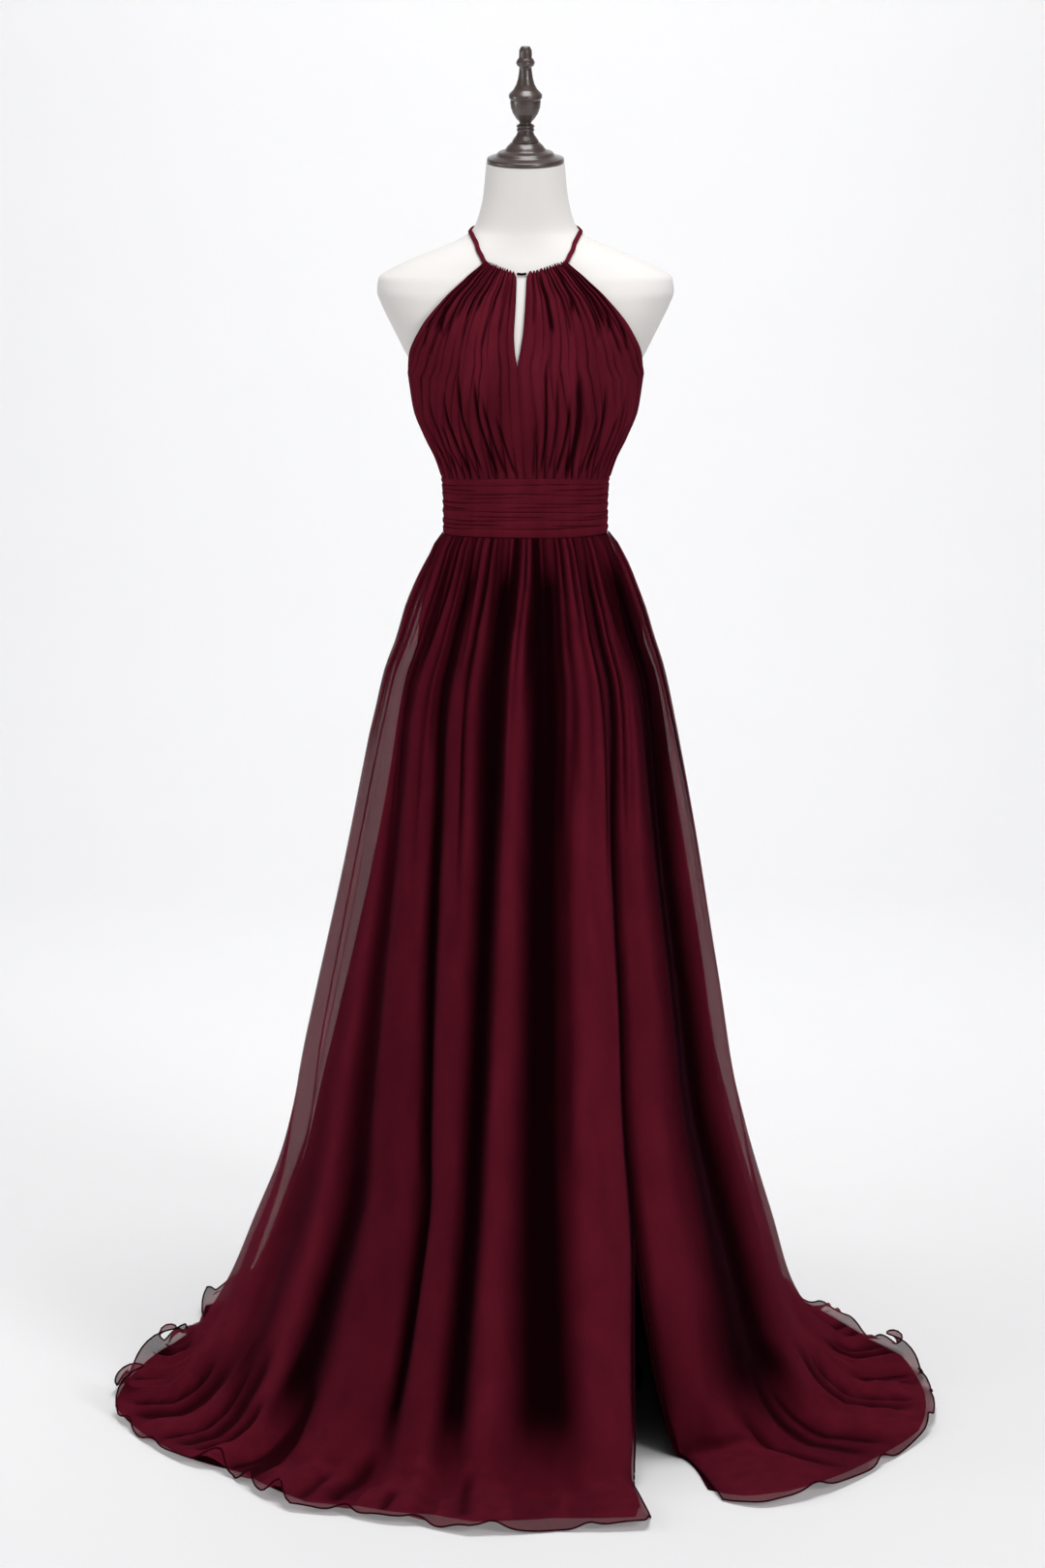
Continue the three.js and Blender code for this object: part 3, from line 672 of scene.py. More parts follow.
FOLDS = table(
    "start_hip start_knee start_shin ridge_hip ridge_knee ridge_shin height crisp start_hem ridge_hem", [
        [-90, -90, -90, -82, -79, -79, 0.95, 0.9, 0.965, 1.005],
        [-74, -69, -67, -66, -59, -54, 1.05, 1.2, 0.985, 0.965],
        [-59, -53, -45, -49, -43, -31, 1.15, 0.8, 0.935, 1.01],
        [-40, -34, -24, -26, -22, -18.5, 1.25, 1, 0.98, 0.99],
        [-14, -13.5, -13, -4.5, -5.5, -7, 1.35, 1.5, 0.985, 1.018],
        [9, 5.5, 4, 24, 18.5, 15, 1.3, 0.7, 0.988, 1.012],
        [41, 33, 28.8, 49, 41, 39, 1.15, 0.7, 1, 1.025],
        [65, 58, 57, 76, 68, 69, 1, 1.1, 1.005, 1.018],
        [90, 90, 90, 98, 98, 99, 0.9, 1, 0.97, 0.955],
        [108, 108, 107, 117, 117, 116, 1.2, 1.2, 0.9, 0.885],
        [126, 125, 126, 135, 135, 135, 0.85, 0.9, 0.885, 0.93],
        [144, 144, 143, 152, 153, 153, 1.3, 1.1, 0.945, 0.985],
        [162, 162, 162, 171, 171, 171, 1.05, 0.8, 0.97, 1.005],
        [180, 180, 180, 189, 188, 188, 1.1, 1, 0.985, 1],
        [198, 198, 198, 207, 207, 207, 1.25, 1.2, 0.97, 0.985],
        [216, 217, 216, 225, 226, 224, 0.9, 0.8, 0.94, 0.92],
        [234, 234, 232, 243, 242, 239, 1.15, 1.1, 0.9, 0.955],
        [252, 252, 248, 261, 261, 260, 1, 1, 0.865, 0.925],
    ])
SLIT = table("left_angle left_pull right_angle right_pull", [
    [28.3, 1, 28.9, 1],
    [25.4, 1, 28.6, 1],
    [23.3, 1, 31.3, 0.934],
    [21.2, 1, 32.9, 0.879],
    [19.4, 0.99, 33.5, 0.841],
    [18.4, 0.95, 33.7, 0.79],
    [17.2, 0.95, 29.7, 0.955],
    [17, 0.95, 28.9, 0.991],
])
SEAM_RISE = {"top": 7, "bottom": 2}
ROWS = len(SKIRT["z"])
FOLD_COUNT = len(FOLDS["height"])
SLIT_ROWS = len(SLIT["left_angle"])

# %% [markdown]
# The cloth is followed by how far down it a point lies, rather than by its height, because the
# train lies flat. Each fold's hollow and crest has an angle at every row of the table, and the
# smooth curve joins them.

# %% where each fold runs
spread = (SKIRT["left"] + SKIRT["right"] + SKIRT["front"] + SKIRT["back"]) / 4
DOWN = np.concatenate([[0], np.cumsum(np.hypot(np.diff(SKIRT["z"]), np.diff(spread)))])


def along_heights(z, waist, hip, knee, shin):
    above = mix(hip, waist, smooth((z - HIP) / (WAIST - HIP)))
    between = mix(knee, hip, (z - KNEE) / (HIP - KNEE))
    below = mix(shin, knee, clamp((z - SHIN) / (KNEE - SHIN)))
    return np.where(z > HIP, above, np.where(z > KNEE, between, below))


def even_angle(index):
    if index <= FRONT_FOLDS:
        return -90 + 180 * index / FRONT_FOLDS
    return 90 + 180 * (index - FRONT_FOLDS) / (FOLD_COUNT - FRONT_FOLDS)


def waist_angle(index):
    """The angle at the waist of the hollow before a fold: nearly straight above its place at the hip."""
    whole = 360 if index == FOLD_COUNT else 0
    return mix(even_angle(index), FOLDS["start_hip"][index % FOLD_COUNT] + whole, STRAIGHT_DOWN)


def hollow_angles(index, side):
    """The angle of the hollow before a fold, at each row. At the slit each side has its own."""
    whole = 360 if index == FOLD_COUNT else 0
    fold = index % FOLD_COUNT
    hip, knee, shin = (FOLDS[name][fold] + whole for name in ("start_hip", "start_knee", "start_shin"))
    angles = along_heights(SKIRT["z"], waist_angle(index), hip, knee, shin)
    if index == SLIT_FOLD:
        angles[-SLIT_ROWS:] = SLIT[f"{side}_angle"]
    return angles


def crest_angles(index):
    even = (waist_angle(index) + waist_angle(index + 1)) / 2
    hip, knee, shin = (FOLDS[name][index] for name in ("ridge_hip", "ridge_knee", "ridge_shin"))
    return along_heights(SKIRT["z"], even, hip, knee, shin)


def front_share(angle):
    """How much a place faces the front. The waistband's seams rise with it."""
    return np.maximum(np.cos(np.radians(angle)), 0) ** 2


def pulls(side):
    return np.concatenate([np.ones(ROWS - SLIT_ROWS), SLIT[f"{side}_pull"]])


GATHER_ANGLE = 6.4
waist_angles = np.array([waist_angle(i) for i in range(FOLD_COUNT + 1)])
GATHERS = np.round(np.diff(waist_angles) / GATHER_ANGLE)
print("the skirt is", round(DOWN[-1] * MM, 3), "m long at its middle, with", int(GATHERS.sum()), "gathers")

# %% [markdown]
# Real folds are not even waves. Their crests are broad and their hollows narrow, so the points of
# a fold are drawn towards its hollows. Smaller creases are placed one by one, in tables: each runs
# from one place to another, and fades out at both ends. A plus is a ridge and a minus a trough.
# The shades say how far the painted shade of a hollow reaches into the fold on each side of it,
# and how much painted light the fold gets.

# %% folds and creases
NARROW_HOLLOWS = 0.4
FULL_FOLD = 22
SOFT_SHADE = 0.04
SOFT_SHARE = 0.45
SHADES = table("before after lit", [
    [0.15, 0.20, 0.85], [0.42, 0.20, 1.00], [0.20, 0.08, 0.74], [0.18, 0.20, 0.80], [0.26, 0.30, 0.95],
    [0.28, 0.10, 1.00], [0.04, 0.40, 0.95], [0.28, 0.12, 0.85], [0.20, 0.15, 0.90], [0.12, 0.30, 1.00],
    [0.25, 0.10, 0.85], [0.15, 0.22, 0.95], [0.30, 0.15, 1.00], [0.12, 0.25, 0.88], [0.22, 0.12, 1.00],
    [0.16, 0.30, 0.90], [0.28, 0.10, 1.00], [0.14, 0.24, 0.90],
])


def away_from(angle, at):
    """How many degrees an angle lies from another, the short way round."""
    return (angle - at + 180) % 360 - 180


def bulge(away, width, steep=2):
    """1 in the middle of a soft bump, falling to 0 beyond its width on both sides."""
    return np.exp(-((away / width) ** steep))


def crease_relief(creases, across, along):
    """The sum of soft creases, each from (across, along) to (across, along), with a size and a width."""
    relief = np.zeros(np.broadcast(across, along).shape)
    for a0, l0, a1, l1, size, width in creases:
        share = (along - l0) / (l1 - l0)
        middle = mix(a0, a1, clamp(share))
        fade = smooth(share * 4) * smooth((1 - share) * 4)
        relief = relief + size * fade * bulge(across - middle, width)
    return relief


def shade_of_fold(index, place):
    """How much painted light a place of a fold gets, from 0 in the painted shade deep in a hollow to 1 on the
    open cloth.
    """
    before, after = SHADES["before"][index], SHADES["after"][index]
    soft_before, soft_after = SOFT_SHARE * before + SOFT_SHADE, SOFT_SHARE * after + SOFT_SHADE
    shade = smooth((place - before + soft_before) / (2 * soft_before))
    return SHADES["lit"][index] * shade * smooth((1 - place - after + soft_after) / (2 * soft_after))


# %% [markdown]
# The skirt stands out a little at its sides, where it falls from the hip. The creases below the
# waistband are the troughs between its main gathers. The long ones cross the big folds.

# %% the skirt's swell and its creases
SIDE_SWELL = table("z left right", [
    [300, 0, 0], [360, 0.6, 2.2], [440, 4.9, 3.5], [560, 7.7, 1.8], [680, 9, 2.6], [760, 9.4, 1.9],
    [820, 8.6, 0.5], [860, 7, 0], [900, 7.3, 0.6], [920, 7.5, 2.8], [940, 8.8, 5.6], [960, 11.2, 8.6],
    [980, 12.2, 10.2], [1000, 10.8, 10.4], [1020, 8.5, 10.2], [1040, 5, 8.6], [1055, 2.3, 6],
    [1079, 0.5, 2.5],
])
SWELL_AT, SWELL_WIDTH = 92, 26
ABOVE_WAIST = 1110
WAIST_CREASES = [[start, ABOVE_WAIST, end, low, size, width] for start, end, low, size, width in (
    [-68, -70, 960, -4, 1.6], [-53, -55, 900, -5, 1.5], [-44, -45, 985, -3.5, 1.1],
    [-37, -38, 960, -4.5, 1.2], [-31, -31, 900, -4, 1], [-24.5, -25, 985, -3, 0.9],
    [-19, -19, 930, -5, 1.1], [-12, -12.5, 1000, -3, 0.8], [-6, -6, 960, -3.5, 0.9],
    [0.5, 0, 1000, -2.5, 0.8], [5.5, 5.5, 950, -4, 0.9], [12, 12, 930, -5, 1.2], [18, 17, 980, -3, 0.9],
    [23.5, 23, 1000, -4, 0.9], [30, 29, 970, -3, 1], [37, 36, 930, -4.5, 1.1], [45, 44, 990, -3.5, 1.2],
    [54, 53, 940, -4.5, 1.4], [68, 67, 960, -4, 1.6], [105, 104, 950, -4.5, 1.5],
    [119, 120, 990, -3.5, 1.2], [132, 132, 930, -4.5, 1.3], [146, 146, 985, -3, 1],
    [158, 158, 940, -4.5, 1.2], [173, 172, 990, -3.5, 1.1], [187, 187, 920, -4.5, 1.2],
    [201, 202, 985, -3, 1], [213, 213, 950, -4.5, 1.2], [229, 228, 990, -3.5, 1.2],
    [243, 243, 930, -4.5, 1.4], [257, 257, 980, -3.5, 1.3],
)]
SKIRT_CREASES = [
    [-55, 760, -48, 240, -3.5, 2], [-52, 1000, -38, 520, 3.2, 1.8], [-36, 820, -27, 130, 4.5, 1.9],
    [-30, 560, -22, 90, -3.5, 1.5], [-20, 1010, -15, 620, 2.6, 1.6], [-9, 760, -10.5, 180, -2.6, 1.1],
    [0, 980, 1, 560, 3, 1.6], [14, 900, 10, 240, -4, 1.9], [21, 980, 19, 480, 3.2, 1.8],
    [28, 640, 22.5, 120, 3.8, 1.6], [36, 1010, 31, 640, -3, 1.7], [47, 760, 45, 160, 4.2, 2.2],
    [55, 940, 50, 420, -3.2, 1.9], [70, 820, 64, 180, 3.6, 2.4], [82, 1000, 80, 460, -3.4, 2.2],
    [103, 900, 103, 260, 4.2, 2.4], [121, 1000, 120, 520, -3.2, 2], [131, 720, 131, 160, 3.6, 2.2],
    [148, 960, 148, 360, 3.4, 2], [157, 700, 158, 120, -3.4, 2.1], [176, 1000, 175, 480, 3.8, 2.2],
    [184, 780, 184, 200, -3.2, 1.9], [203, 940, 203, 320, 3.8, 2.3], [211, 700, 211, 140, -3.4, 2],
    [221, 980, 221, 560, 3.2, 1.9], [238, 860, 237, 260, -3.6, 2.1], [236, 940, 235, 420, 3.4, 2],
]

# %% [markdown]
# The hem does not lie dead flat. The train is crumpled by small folds that run across it, and its
# edge curls up and over where the cloth was pushed along the floor, most of all at the back corners.
# A curl is a roll of steady bend: it has a place, a width, how far in it starts and how far it turns.

# %% the train's folds and the hem's curls
TRAIN_CREASES = [
    [-43, 8, -41, 240, -10, 1.6], [-50, 15, -45, 320, 10, 2], [-58, 10, -53, 260, -7, 1.8],
    [-66, 15, -60, 280, 9, 2], [-73, 10, -68, 220, -7, 1.5], [-80, 15, -75, 230, 9, 1.6],
    [-87, 10, -82, 190, -6, 1.3], [-93, 12, -88, 200, 9, 1.5], [-100, 8, -96, 160, -6, 1.3],
    [-107, 10, -103, 170, 9, 1.5], [-115, 8, -112, 150, -6, 1.3], [-123, 10, -120, 160, 8, 1.6],
    [-34, 15, -33, 210, 7, 1.4], [-27, 10, -25, 170, -6, 1.2], [-15, 10, -16, 160, 6, 1.3],
    [-8, 8, -9, 140, -5, 1.1], [5, 8, 6, 120, 5, 1.2], [44, 10, 41, 200, 6, 1.8],
    [57, 10, 53, 240, -6, 1.7], [66, 12, 61, 260, 8, 1.8], [75, 10, 70, 230, -7, 1.5],
    [82, 12, 77, 240, 10, 1.5], [88, 8, 84, 190, -7, 1.2], [93, 10, 89, 200, 9, 1.3],
    [99, 8, 95, 170, -7, 1.2], [104, 10, 100, 190, 9, 1.3], [110, 8, 106, 150, -6, 1.2],
    [115, 10, 112, 170, 8, 1.3], [121, 8, 119, 140, -6, 1.2], [127, 10, 125, 160, 8, 1.4],
    [136, 8, 135, 150, 7, 1.4], [150, 10, 150, 170, 7, 1.6], [163, 10, 162, 150, -6, 1.4],
    [174, 10, 174, 180, 7, 1.5], [187, 10, 188, 160, -6, 1.4], [199, 10, 198, 170, 7, 1.5],
    [213, 10, 212, 150, 7, 1.5], [224, 8, 224, 140, -6, 1.4], [-47, 20, -43, 180, -7, 0.9],
    [-54, 20, -50, 200, -7, 0.9], [-63, 14, -58, 230, -9, 1], [-69, 18, -64, 200, 7, 0.9],
    [-77, 14, -72, 210, -8, 0.9], [-84, 18, -79, 190, 8, 0.9], [-90, 14, -86, 170, -8, 0.8],
    [-97, 16, -93, 160, 7, 0.8], [-104, 14, -100, 150, -7, 0.8], [-111, 16, -108, 140, 7, 0.9],
    [-119, 14, -116, 130, -7, 0.9], [-37, 4, -37, 90, 6, 0.8], [-30.5, 4, -30, 110, -5, 0.8],
    [-23, 4, -22.5, 100, 6, 0.8], [-19, 4, -18.5, 80, -5, 0.7], [-11.5, 4, -11.5, 90, 6, 0.8],
    [-2, 4, -2.5, 80, 5, 0.7], [49, 14, 46, 180, -6, 1], [62, 14, 57, 210, -7, 1],
    [71, 16, 66, 200, 7, 0.9], [79, 12, 74, 210, -8, 0.9], [85, 16, 80, 180, 8, 0.9],
    [91, 12, 87, 170, -8, 0.8], [96, 16, 92, 160, 7, 0.8], [102, 12, 98, 150, -8, 0.8],
    [107, 14, 104, 150, 7, 0.8], [113, 12, 110, 130, -7, 0.8], [118, 14, 116, 130, 7, 0.9],
    [124, 12, 122, 120, -7, 0.9],
]
HEM_CURLS = [
    [-128.5, 3.6, 62, 2.6], [-121, 2, 26, 1.3], [-113, 2.2, 20, 1], [-106, 2, 26, 1.5],
    [-97.5, 2.8, 50, 2.6], [-89, 1.8, 22, 1.2], [-79.5, 3.2, 54, 2.6], [-70, 2, 20, 1.1], [-62, 2, 16, 1],
    [-48.5, 2.2, 34, 1.6], [-41, 1.8, 26, 1.4], [-34, 1.6, 30, 1.5], [-24, 1.6, 22, 1.2],
    [-14, 1.8, 20, 1.1], [-4, 1.5, 16, 0.9], [8, 1.4, 14, 0.8], [40, 2, 18, 1], [55, 2, 20, 1.1],
    [70, 2.2, 22, 1.1], [80, 2, 22, 1.2], [88, 2, 28, 1.6], [96.5, 2.6, 44, 2.5], [104, 1.8, 18, 1],
    [112, 2, 14, 0.8], [121, 2, 16, 0.9], [131, 2.2, 14, 0.8], [141, 2.2, 20, 1.1], [154, 2.6, 26, 1.4],
    [169, 2.4, 30, 1.5], [185, 2.6, 24, 1.3], [201, 2.4, 32, 1.6], [217, 2.6, 28, 1.5],
]
LEAST_BEND = 0.002


def hem_curl(angle, down):
    """How far the hem's edge rises and how far it is drawn back in, both in millimetres."""
    rise, back = 0.0, 0.0
    for at, width, reach, turn in HEM_CURLS:
        bend = np.maximum(turn / reach * bulge(away_from(angle, at), width), LEAST_BEND)
        along = np.maximum(down - DOWN[-1] + reach, 0)
        rise = np.maximum(rise, (1 - np.cos(bend * along)) / bend * (bend > LEAST_BEND))
        back = np.maximum(back, along - np.sin(bend * along) / bend)
    return rise, back


# %% [markdown]
# One function gives the skirt's points at any place across a fold and any distance down the cloth.
# The chiffon, its lining and the rolled hems all use it. It works in steps, each a function of its
# own. At the waist each fold starts as three or four small gathers, whose heights and lengths differ
# from one to the next.

# %% the parts of the skirt's form
HANGING = slice(0, 14)
GATHER_SPREAD = 0.35
GATHER_PACE = 2.4
GATHER_DRIFT = 0.34
GATHER_FULL = 2.6
# Painted shade between the gathers: how dark it is, and how much it varies from one to the next.
GATHER_SHADE, GATHER_SHADE_SPREAD = 0.68, 0.32
TUCK = {"chiffon": 2.6, "lining": 1.2, "reach": 16, "flat": 0.6}
SIDE_FULLNESS = table("at width share", [[-90, 36, 0.95], [92, 14, 0.85]])
# Painted light at the sheer sides, lifting the painted shade of their folds.
SIDE_LIGHT = table("at width share", [[-94, 32, 0.85], [102, 24, 0.7]])
SIDES_FROM, SIDES_OVER = 150, 250
SHADED_CROWN = 0.3
LEAST_CLOTH = 1.4
# Painted light: on the hem's curls, on the train's ridges and at the sheer sides.
PAINTED_LIGHT = {"curl": 1.9, "ridge": 0.4}
PAINTED_SIDE_LIGHT = table("at width share", [[-94, 24, 0.45], [93, 20, 0.4]])
CORNER = {"share": 0.24, "round": 0.075}
# Less painted shade on the train, where its cloth spreads over the floor.
TRAIN_LIGHT = {"from": 90, "over": 80, "share": 0.75}
FULL_SHADE = 2.2
FULL_CREASE = 6
# Painted shade in the troughs of the creases, on the hanging skirt and on the train.
TROUGH_SHADE = {"hanging": 0.75, "train": 0.8}
FULL_CURL = 10
LINING_SLIMMER = {"left": 1, "right": -7}
SLIMMER_LOW, SLIMMER_HIGH = (60, 240), (20, 120)
LINING_HIP = {"size": -10, "from": 930, "over": 50}
LINING_TRIM = 0.075


def signed(angle):
    """The angle from -135 to 225, so that the train's left side counts down from the front."""
    return (angle + 135) % 360 - 135


def at_the_sides(sides, angle):
    """A share that is full at the middle of each side, and falls off quickly beyond its width."""
    rows = zip(sides["at"], sides["width"], sides["share"])
    return sum(share * bulge(away_from(angle, at), width, steep=4) for at, width, share in rows)


def side_swell(angle, z):
    """How much fuller the chiffon hangs at the sides than its even flare."""
    level = np.clip(z, SIDE_SWELL["z"][0], SIDE_SWELL["z"][-1])
    left = read(SIDE_SWELL, "left", level) * bulge(away_from(angle, -SWELL_AT), SWELL_WIDTH)
    return left + read(SIDE_SWELL, "right", level) * bulge(away_from(angle, SWELL_AT), SWELL_WIDTH)


def over_fold(place, hollow, crest, following):
    """Runs from a fold's first hollow to its crest, and on to the hollow that follows."""
    return np.where(place < 0.5, mix(hollow, crest, 2 * place), mix(crest, following, 2 * place - 1))


def fold_lines(first, last, down):
    """The angles of the hollow, the crest and the next hollow of each fold, at every row."""
    folds = range(first, last + 1)
    hollows = [curve_through(DOWN, hollow_angles(i, "right"), down) for i in folds]
    crests = [curve_through(DOWN, crest_angles(i), down) for i in folds]
    following = [curve_through(DOWN, hollow_angles(i + 1, "left"), down) for i in folds]
    return [np.stack(lines, -1) for lines in (hollows, crests, following)]


def hem_reach(index, q, drawn, trail, down, trimmed):
    """How far the cloth reaches on the floor, as a share of an even oval. The slit is pulled open."""
    after = (index + 1) % FOLD_COUNT
    hem = over_fold(drawn, FOLDS["start_hem"][index], FOLDS["ridge_hem"][index], FOLDS["start_hem"][after])
    left_pull, right_pull = (curve_through(DOWN, pulls(side), down) for side in ("left", "right"))
    reach = mix(1, hem, trail)
    reach = np.where(index == SLIT_FOLD - 1, reach * mix(1, left_pull, smooth(2 * q - 1)), reach)
    reach = np.where(index == SLIT_FOLD, reach * mix(1, right_pull, smooth(1 - q)), reach)
    rounded = CORNER["round"] * clamp(1 - q / CORNER["share"]) ** 2 * (index == SLIT_FOLD)
    return reach * (1 - (rounded + trimmed) * trail)


def gathers_at(index, q, z):
    """The height of the gathers below the waistband, and the painted shade of the cloth between them."""
    uneven = np.sin(math.tau * q) * np.sin(2.3 * index) + np.sin(2 * math.tau * q) * np.cos(1.7 * index)
    phase = q * GATHERS[index] + GATHER_DRIFT * uneven
    number = np.floor(phase) + waist_angles[index]
    length = 1 + GATHER_SPREAD * np.sin(GATHER_PACE * number)
    stretched = np.clip(WAIST - (WAIST - z) / length, 0, WAIST)
    size = curve_through(SKIRT["z"][HANGING][::-1], SKIRT["gather"][HANGING][::-1], stretched)
    ridge = (0.5 - 0.5 * np.cos(math.tau * phase)) ** 0.6
    # Painted shade in the hollows between gathers, stronger for some gathers than for others.
    dark = GATHER_SHADE + GATHER_SHADE_SPREAD * np.sin(GATHER_PACE * (np.round(phase) + waist_angles[index]))
    height = size * (ridge * (1 + GATHER_SPREAD * np.cos(1.7 * number + 1)))
    return height, 1 - dark * (1 - ridge**1.8) * smooth(size / GATHER_FULL)


def lining_inset(turn, z):
    """How much slimmer the lining hangs at its sides. Below nothing it is fuller, as at the hip."""
    side = np.sin(turn)
    slimmer = np.where(side < 0, LINING_SLIMMER["left"], LINING_SLIMMER["right"]) * side**8
    slimmer = slimmer * smooth((z - SLIMMER_LOW[0]) / SLIMMER_LOW[1])
    slimmer = slimmer * smooth((WAIST - SLIMMER_HIGH[0] - z) / SLIMMER_HIGH[1])
    hip = LINING_HIP["size"] * side**8 * smooth((z - LINING_HIP["from"]) / LINING_HIP["over"])
    return slimmer + hip * smooth((WAIST - z) / LINING_HIP["over"])


def outward(turn, across, deep, tilt):
    """Directions straight out of the skirt's oval, leaning up by a tilt."""
    normal = np.stack([np.sin(turn) / across, -np.cos(turn) / deep, 0 * turn], -1)
    normal /= np.linalg.norm(normal, axis=-1, keepdims=True)
    normal *= np.cos(tilt)[..., None]
    normal[..., 2] = np.sin(tilt)
    return normal


def cloth_light(angle, row, shade, between, creases, rise):
    """The chiffon's painted light and shade: painted shade in hollows and troughs, painted light where it is
    thin, at the sides and on curls.
    """
    train = smooth((TRAIN_LIGHT["from"] - row["z"]) / TRAIN_LIGHT["over"])
    shaded = smooth(row["fold"] / FULL_SHADE) * (1 - TRAIN_LIGHT["share"] * train)
    crest = mix(1, shade, shaded) * between
    trough = mix(TROUGH_SHADE["hanging"], TROUGH_SHADE["train"], train)
    crest = crest * (1 - trough * clamp(-creases / FULL_CREASE))
    crest = crest * (1 + PAINTED_LIGHT["ridge"] * train * clamp(creases / FULL_CREASE))
    crest = crest * (1 + at_the_sides(PAINTED_SIDE_LIGHT, angle) * (1 - train))
    return mix(crest, PAINTED_LIGHT["curl"], clamp(rise / FULL_CURL))


# %% points on the skirt
def skirt_grid(first, last, per_fold, down, folded=1.0, out=SKIRT_CLOTH):
    """Points of a panel from fold first to fold last, with the painted light and shade of each of them."""
    column = np.arange((last - first + 1) * per_fold + 1)
    index = np.minimum(first + column // per_fold, last)
    q = column / per_fold - (index - first)
    lines = fold_lines(first, last, down)
    down = down[:, None]
    row = {name: curve_through(DOWN, SKIRT[name], down) for name in SKIRT if name != "lining"}
    z = row["z"]
    drawn = q - folded * NARROW_HOLLOWS * row["fold"] / FULL_FOLD * np.sin(math.tau * q) / math.tau
    angle = over_fold(drawn, *(line[:, index - first] for line in lines))
    across = np.where(np.sin(np.radians(angle)) < 0, row["left"], row["right"])
    deep = np.where(np.cos(np.radians(angle)) > 0, row["front"], row["back"])
    edge = (column == 0).astype(float) - (column == column[-1])
    turn = np.radians(angle) + edge * SEAM_GAP / 2 / np.minimum(across, deep)
    trimmed = LINING_TRIM * (1 - folded) * front_share(angle)
    reach = hem_reach(index, q, drawn, row["trail"], down, trimmed)
    raised = z + SEAM_RISE["bottom"] * front_share(angle) * smooth(1 - down / DOWN[1])
    points = np.stack([across * np.sin(turn) * reach, -deep * np.cos(turn) * reach, raised], -1)

    # Painted shade across each fold, lifted to full painted light at the sheer sides.
    shade = shade_of_fold(index, drawn)
    crown = mix((0.5 - 0.5 * np.cos(math.tau * q)) ** FOLDS["crisp"][index], shade, SHADED_CROWN)
    full = at_the_sides(SIDE_FULLNESS, angle) * smooth((z - SIDES_FROM) / SIDES_OVER)
    crown = mix(crown, 1, full)
    shade = mix(shade, 1, np.maximum(full, at_the_sides(SIDE_LIGHT, angle)))
    gather, between = gathers_at(index, q, z)
    height = FOLDS["height"][index] * row["fold"] * crown + gather
    creases = crease_relief(SKIRT_CREASES + WAIST_CREASES, angle, z)
    creases = creases + crease_relief(TRAIN_CREASES, signed(angle), DOWN[-1] - down)
    tucked = 1 - smooth(down / TUCK["reach"])
    relief = height * (1 - TUCK["flat"] * tucked) + creases + side_swell(angle, z)
    inset = mix(TUCK["lining"], TUCK["chiffon"], folded) * tucked + (1 - folded) * lining_inset(turn, z)
    lift = folded * np.maximum(relief, -LEAST_CLOTH) + out - inset
    points += outward(turn, across, deep, np.radians(row["tilt"])) * lift[..., None]

    rise, back = hem_curl(angle, down)
    points[..., 2] += folded * rise
    far = np.linalg.norm(points[..., :2], axis=-1, keepdims=True)
    points[..., :2] *= 1 - folded * back[..., None] / far
    return points, cloth_light(angle, row, shade, between, creases, rise)


# %% [markdown]
# The chiffon skirt is four panels. Each becomes a shell half a millimetre thick, with a narrow rolled
# hem: a tight roll of cloth and thread that shows as a thin dark line along the floor and the slit.
# The rows of points lie closer together towards the hem, where the cloth is most crumpled.

# %% the chiffon panels and their hems
CHIFFON_THICK = 0.5
PER_FOLD = 40
SKIRT_STEPS = 128
DENSE_HEM = 1.5
HEM_ROLL = 1.1
FLOOR_GAP = {"chiffon": 0.2, "roll": 0.1, "lining": 1.0}
SKIRT_PANELS = [
    ["skirt_front", 0, 5, (1.10, 1.32), 0.86],
    ["skirt_front_side", 6, 7, (0.52, 1.30), 0.41],
    ["skirt_back_right", 8, 12, (0.86, 1.42), 0.70],
    ["skirt_back_left", 13, 17, (0.86, 1.42), 0.70],
]


def clear_of_floor(points, least):
    points[..., 2] = np.maximum(points[..., 2], least)
    return points


down = DOWN[-1] * (1 - np.linspace(1, 0, SKIRT_STEPS) ** DENSE_HEM)
slit_start = np.searchsorted(down, DOWN[-SLIT_ROWS])
panels, hems = {}, {}
for name, first, last, flat, area in SKIRT_PANELS:
    points, crest = skirt_grid(first, last, PER_FOLD, down)
    points = clear_of_floor(points, CHIFFON_THICK + FLOOR_GAP["chiffon"])
    panel = shell_object(f"chiffon_{name}", points, CHIFFON_THICK, crest)
    dressed(panel, SHEER_CHIFFON, "sheer_chiffon", name)
    edge = [points[-1]]
    if last + 1 == SLIT_FOLD:
        edge = [points[-1], points[-2:slit_start:-1, -1]]
    if first == SLIT_FOLD:
        edge = [points[slit_start:-1, 0], points[-1]]
    path = clear_of_floor(np.concatenate(edge), HEM_ROLL + FLOOR_GAP["roll"])
    hem = dressed(tube_object(f"rolled_hem_{name}", path, HEM_ROLL), HEM_THREAD, "sheer_chiffon")
    panels[name], hems[name] = panel, hem
    tell_cloth(name, panel)

# %% [markdown]
# The lining is a plain A-line of four panels, a little inside the hollows of the skirt. It is the
# same shape with no folds in it, fuller at the sides of the hip and shorter at the front. Its seam
# allowance is turned up behind the waistband, so that no light comes through the seam.

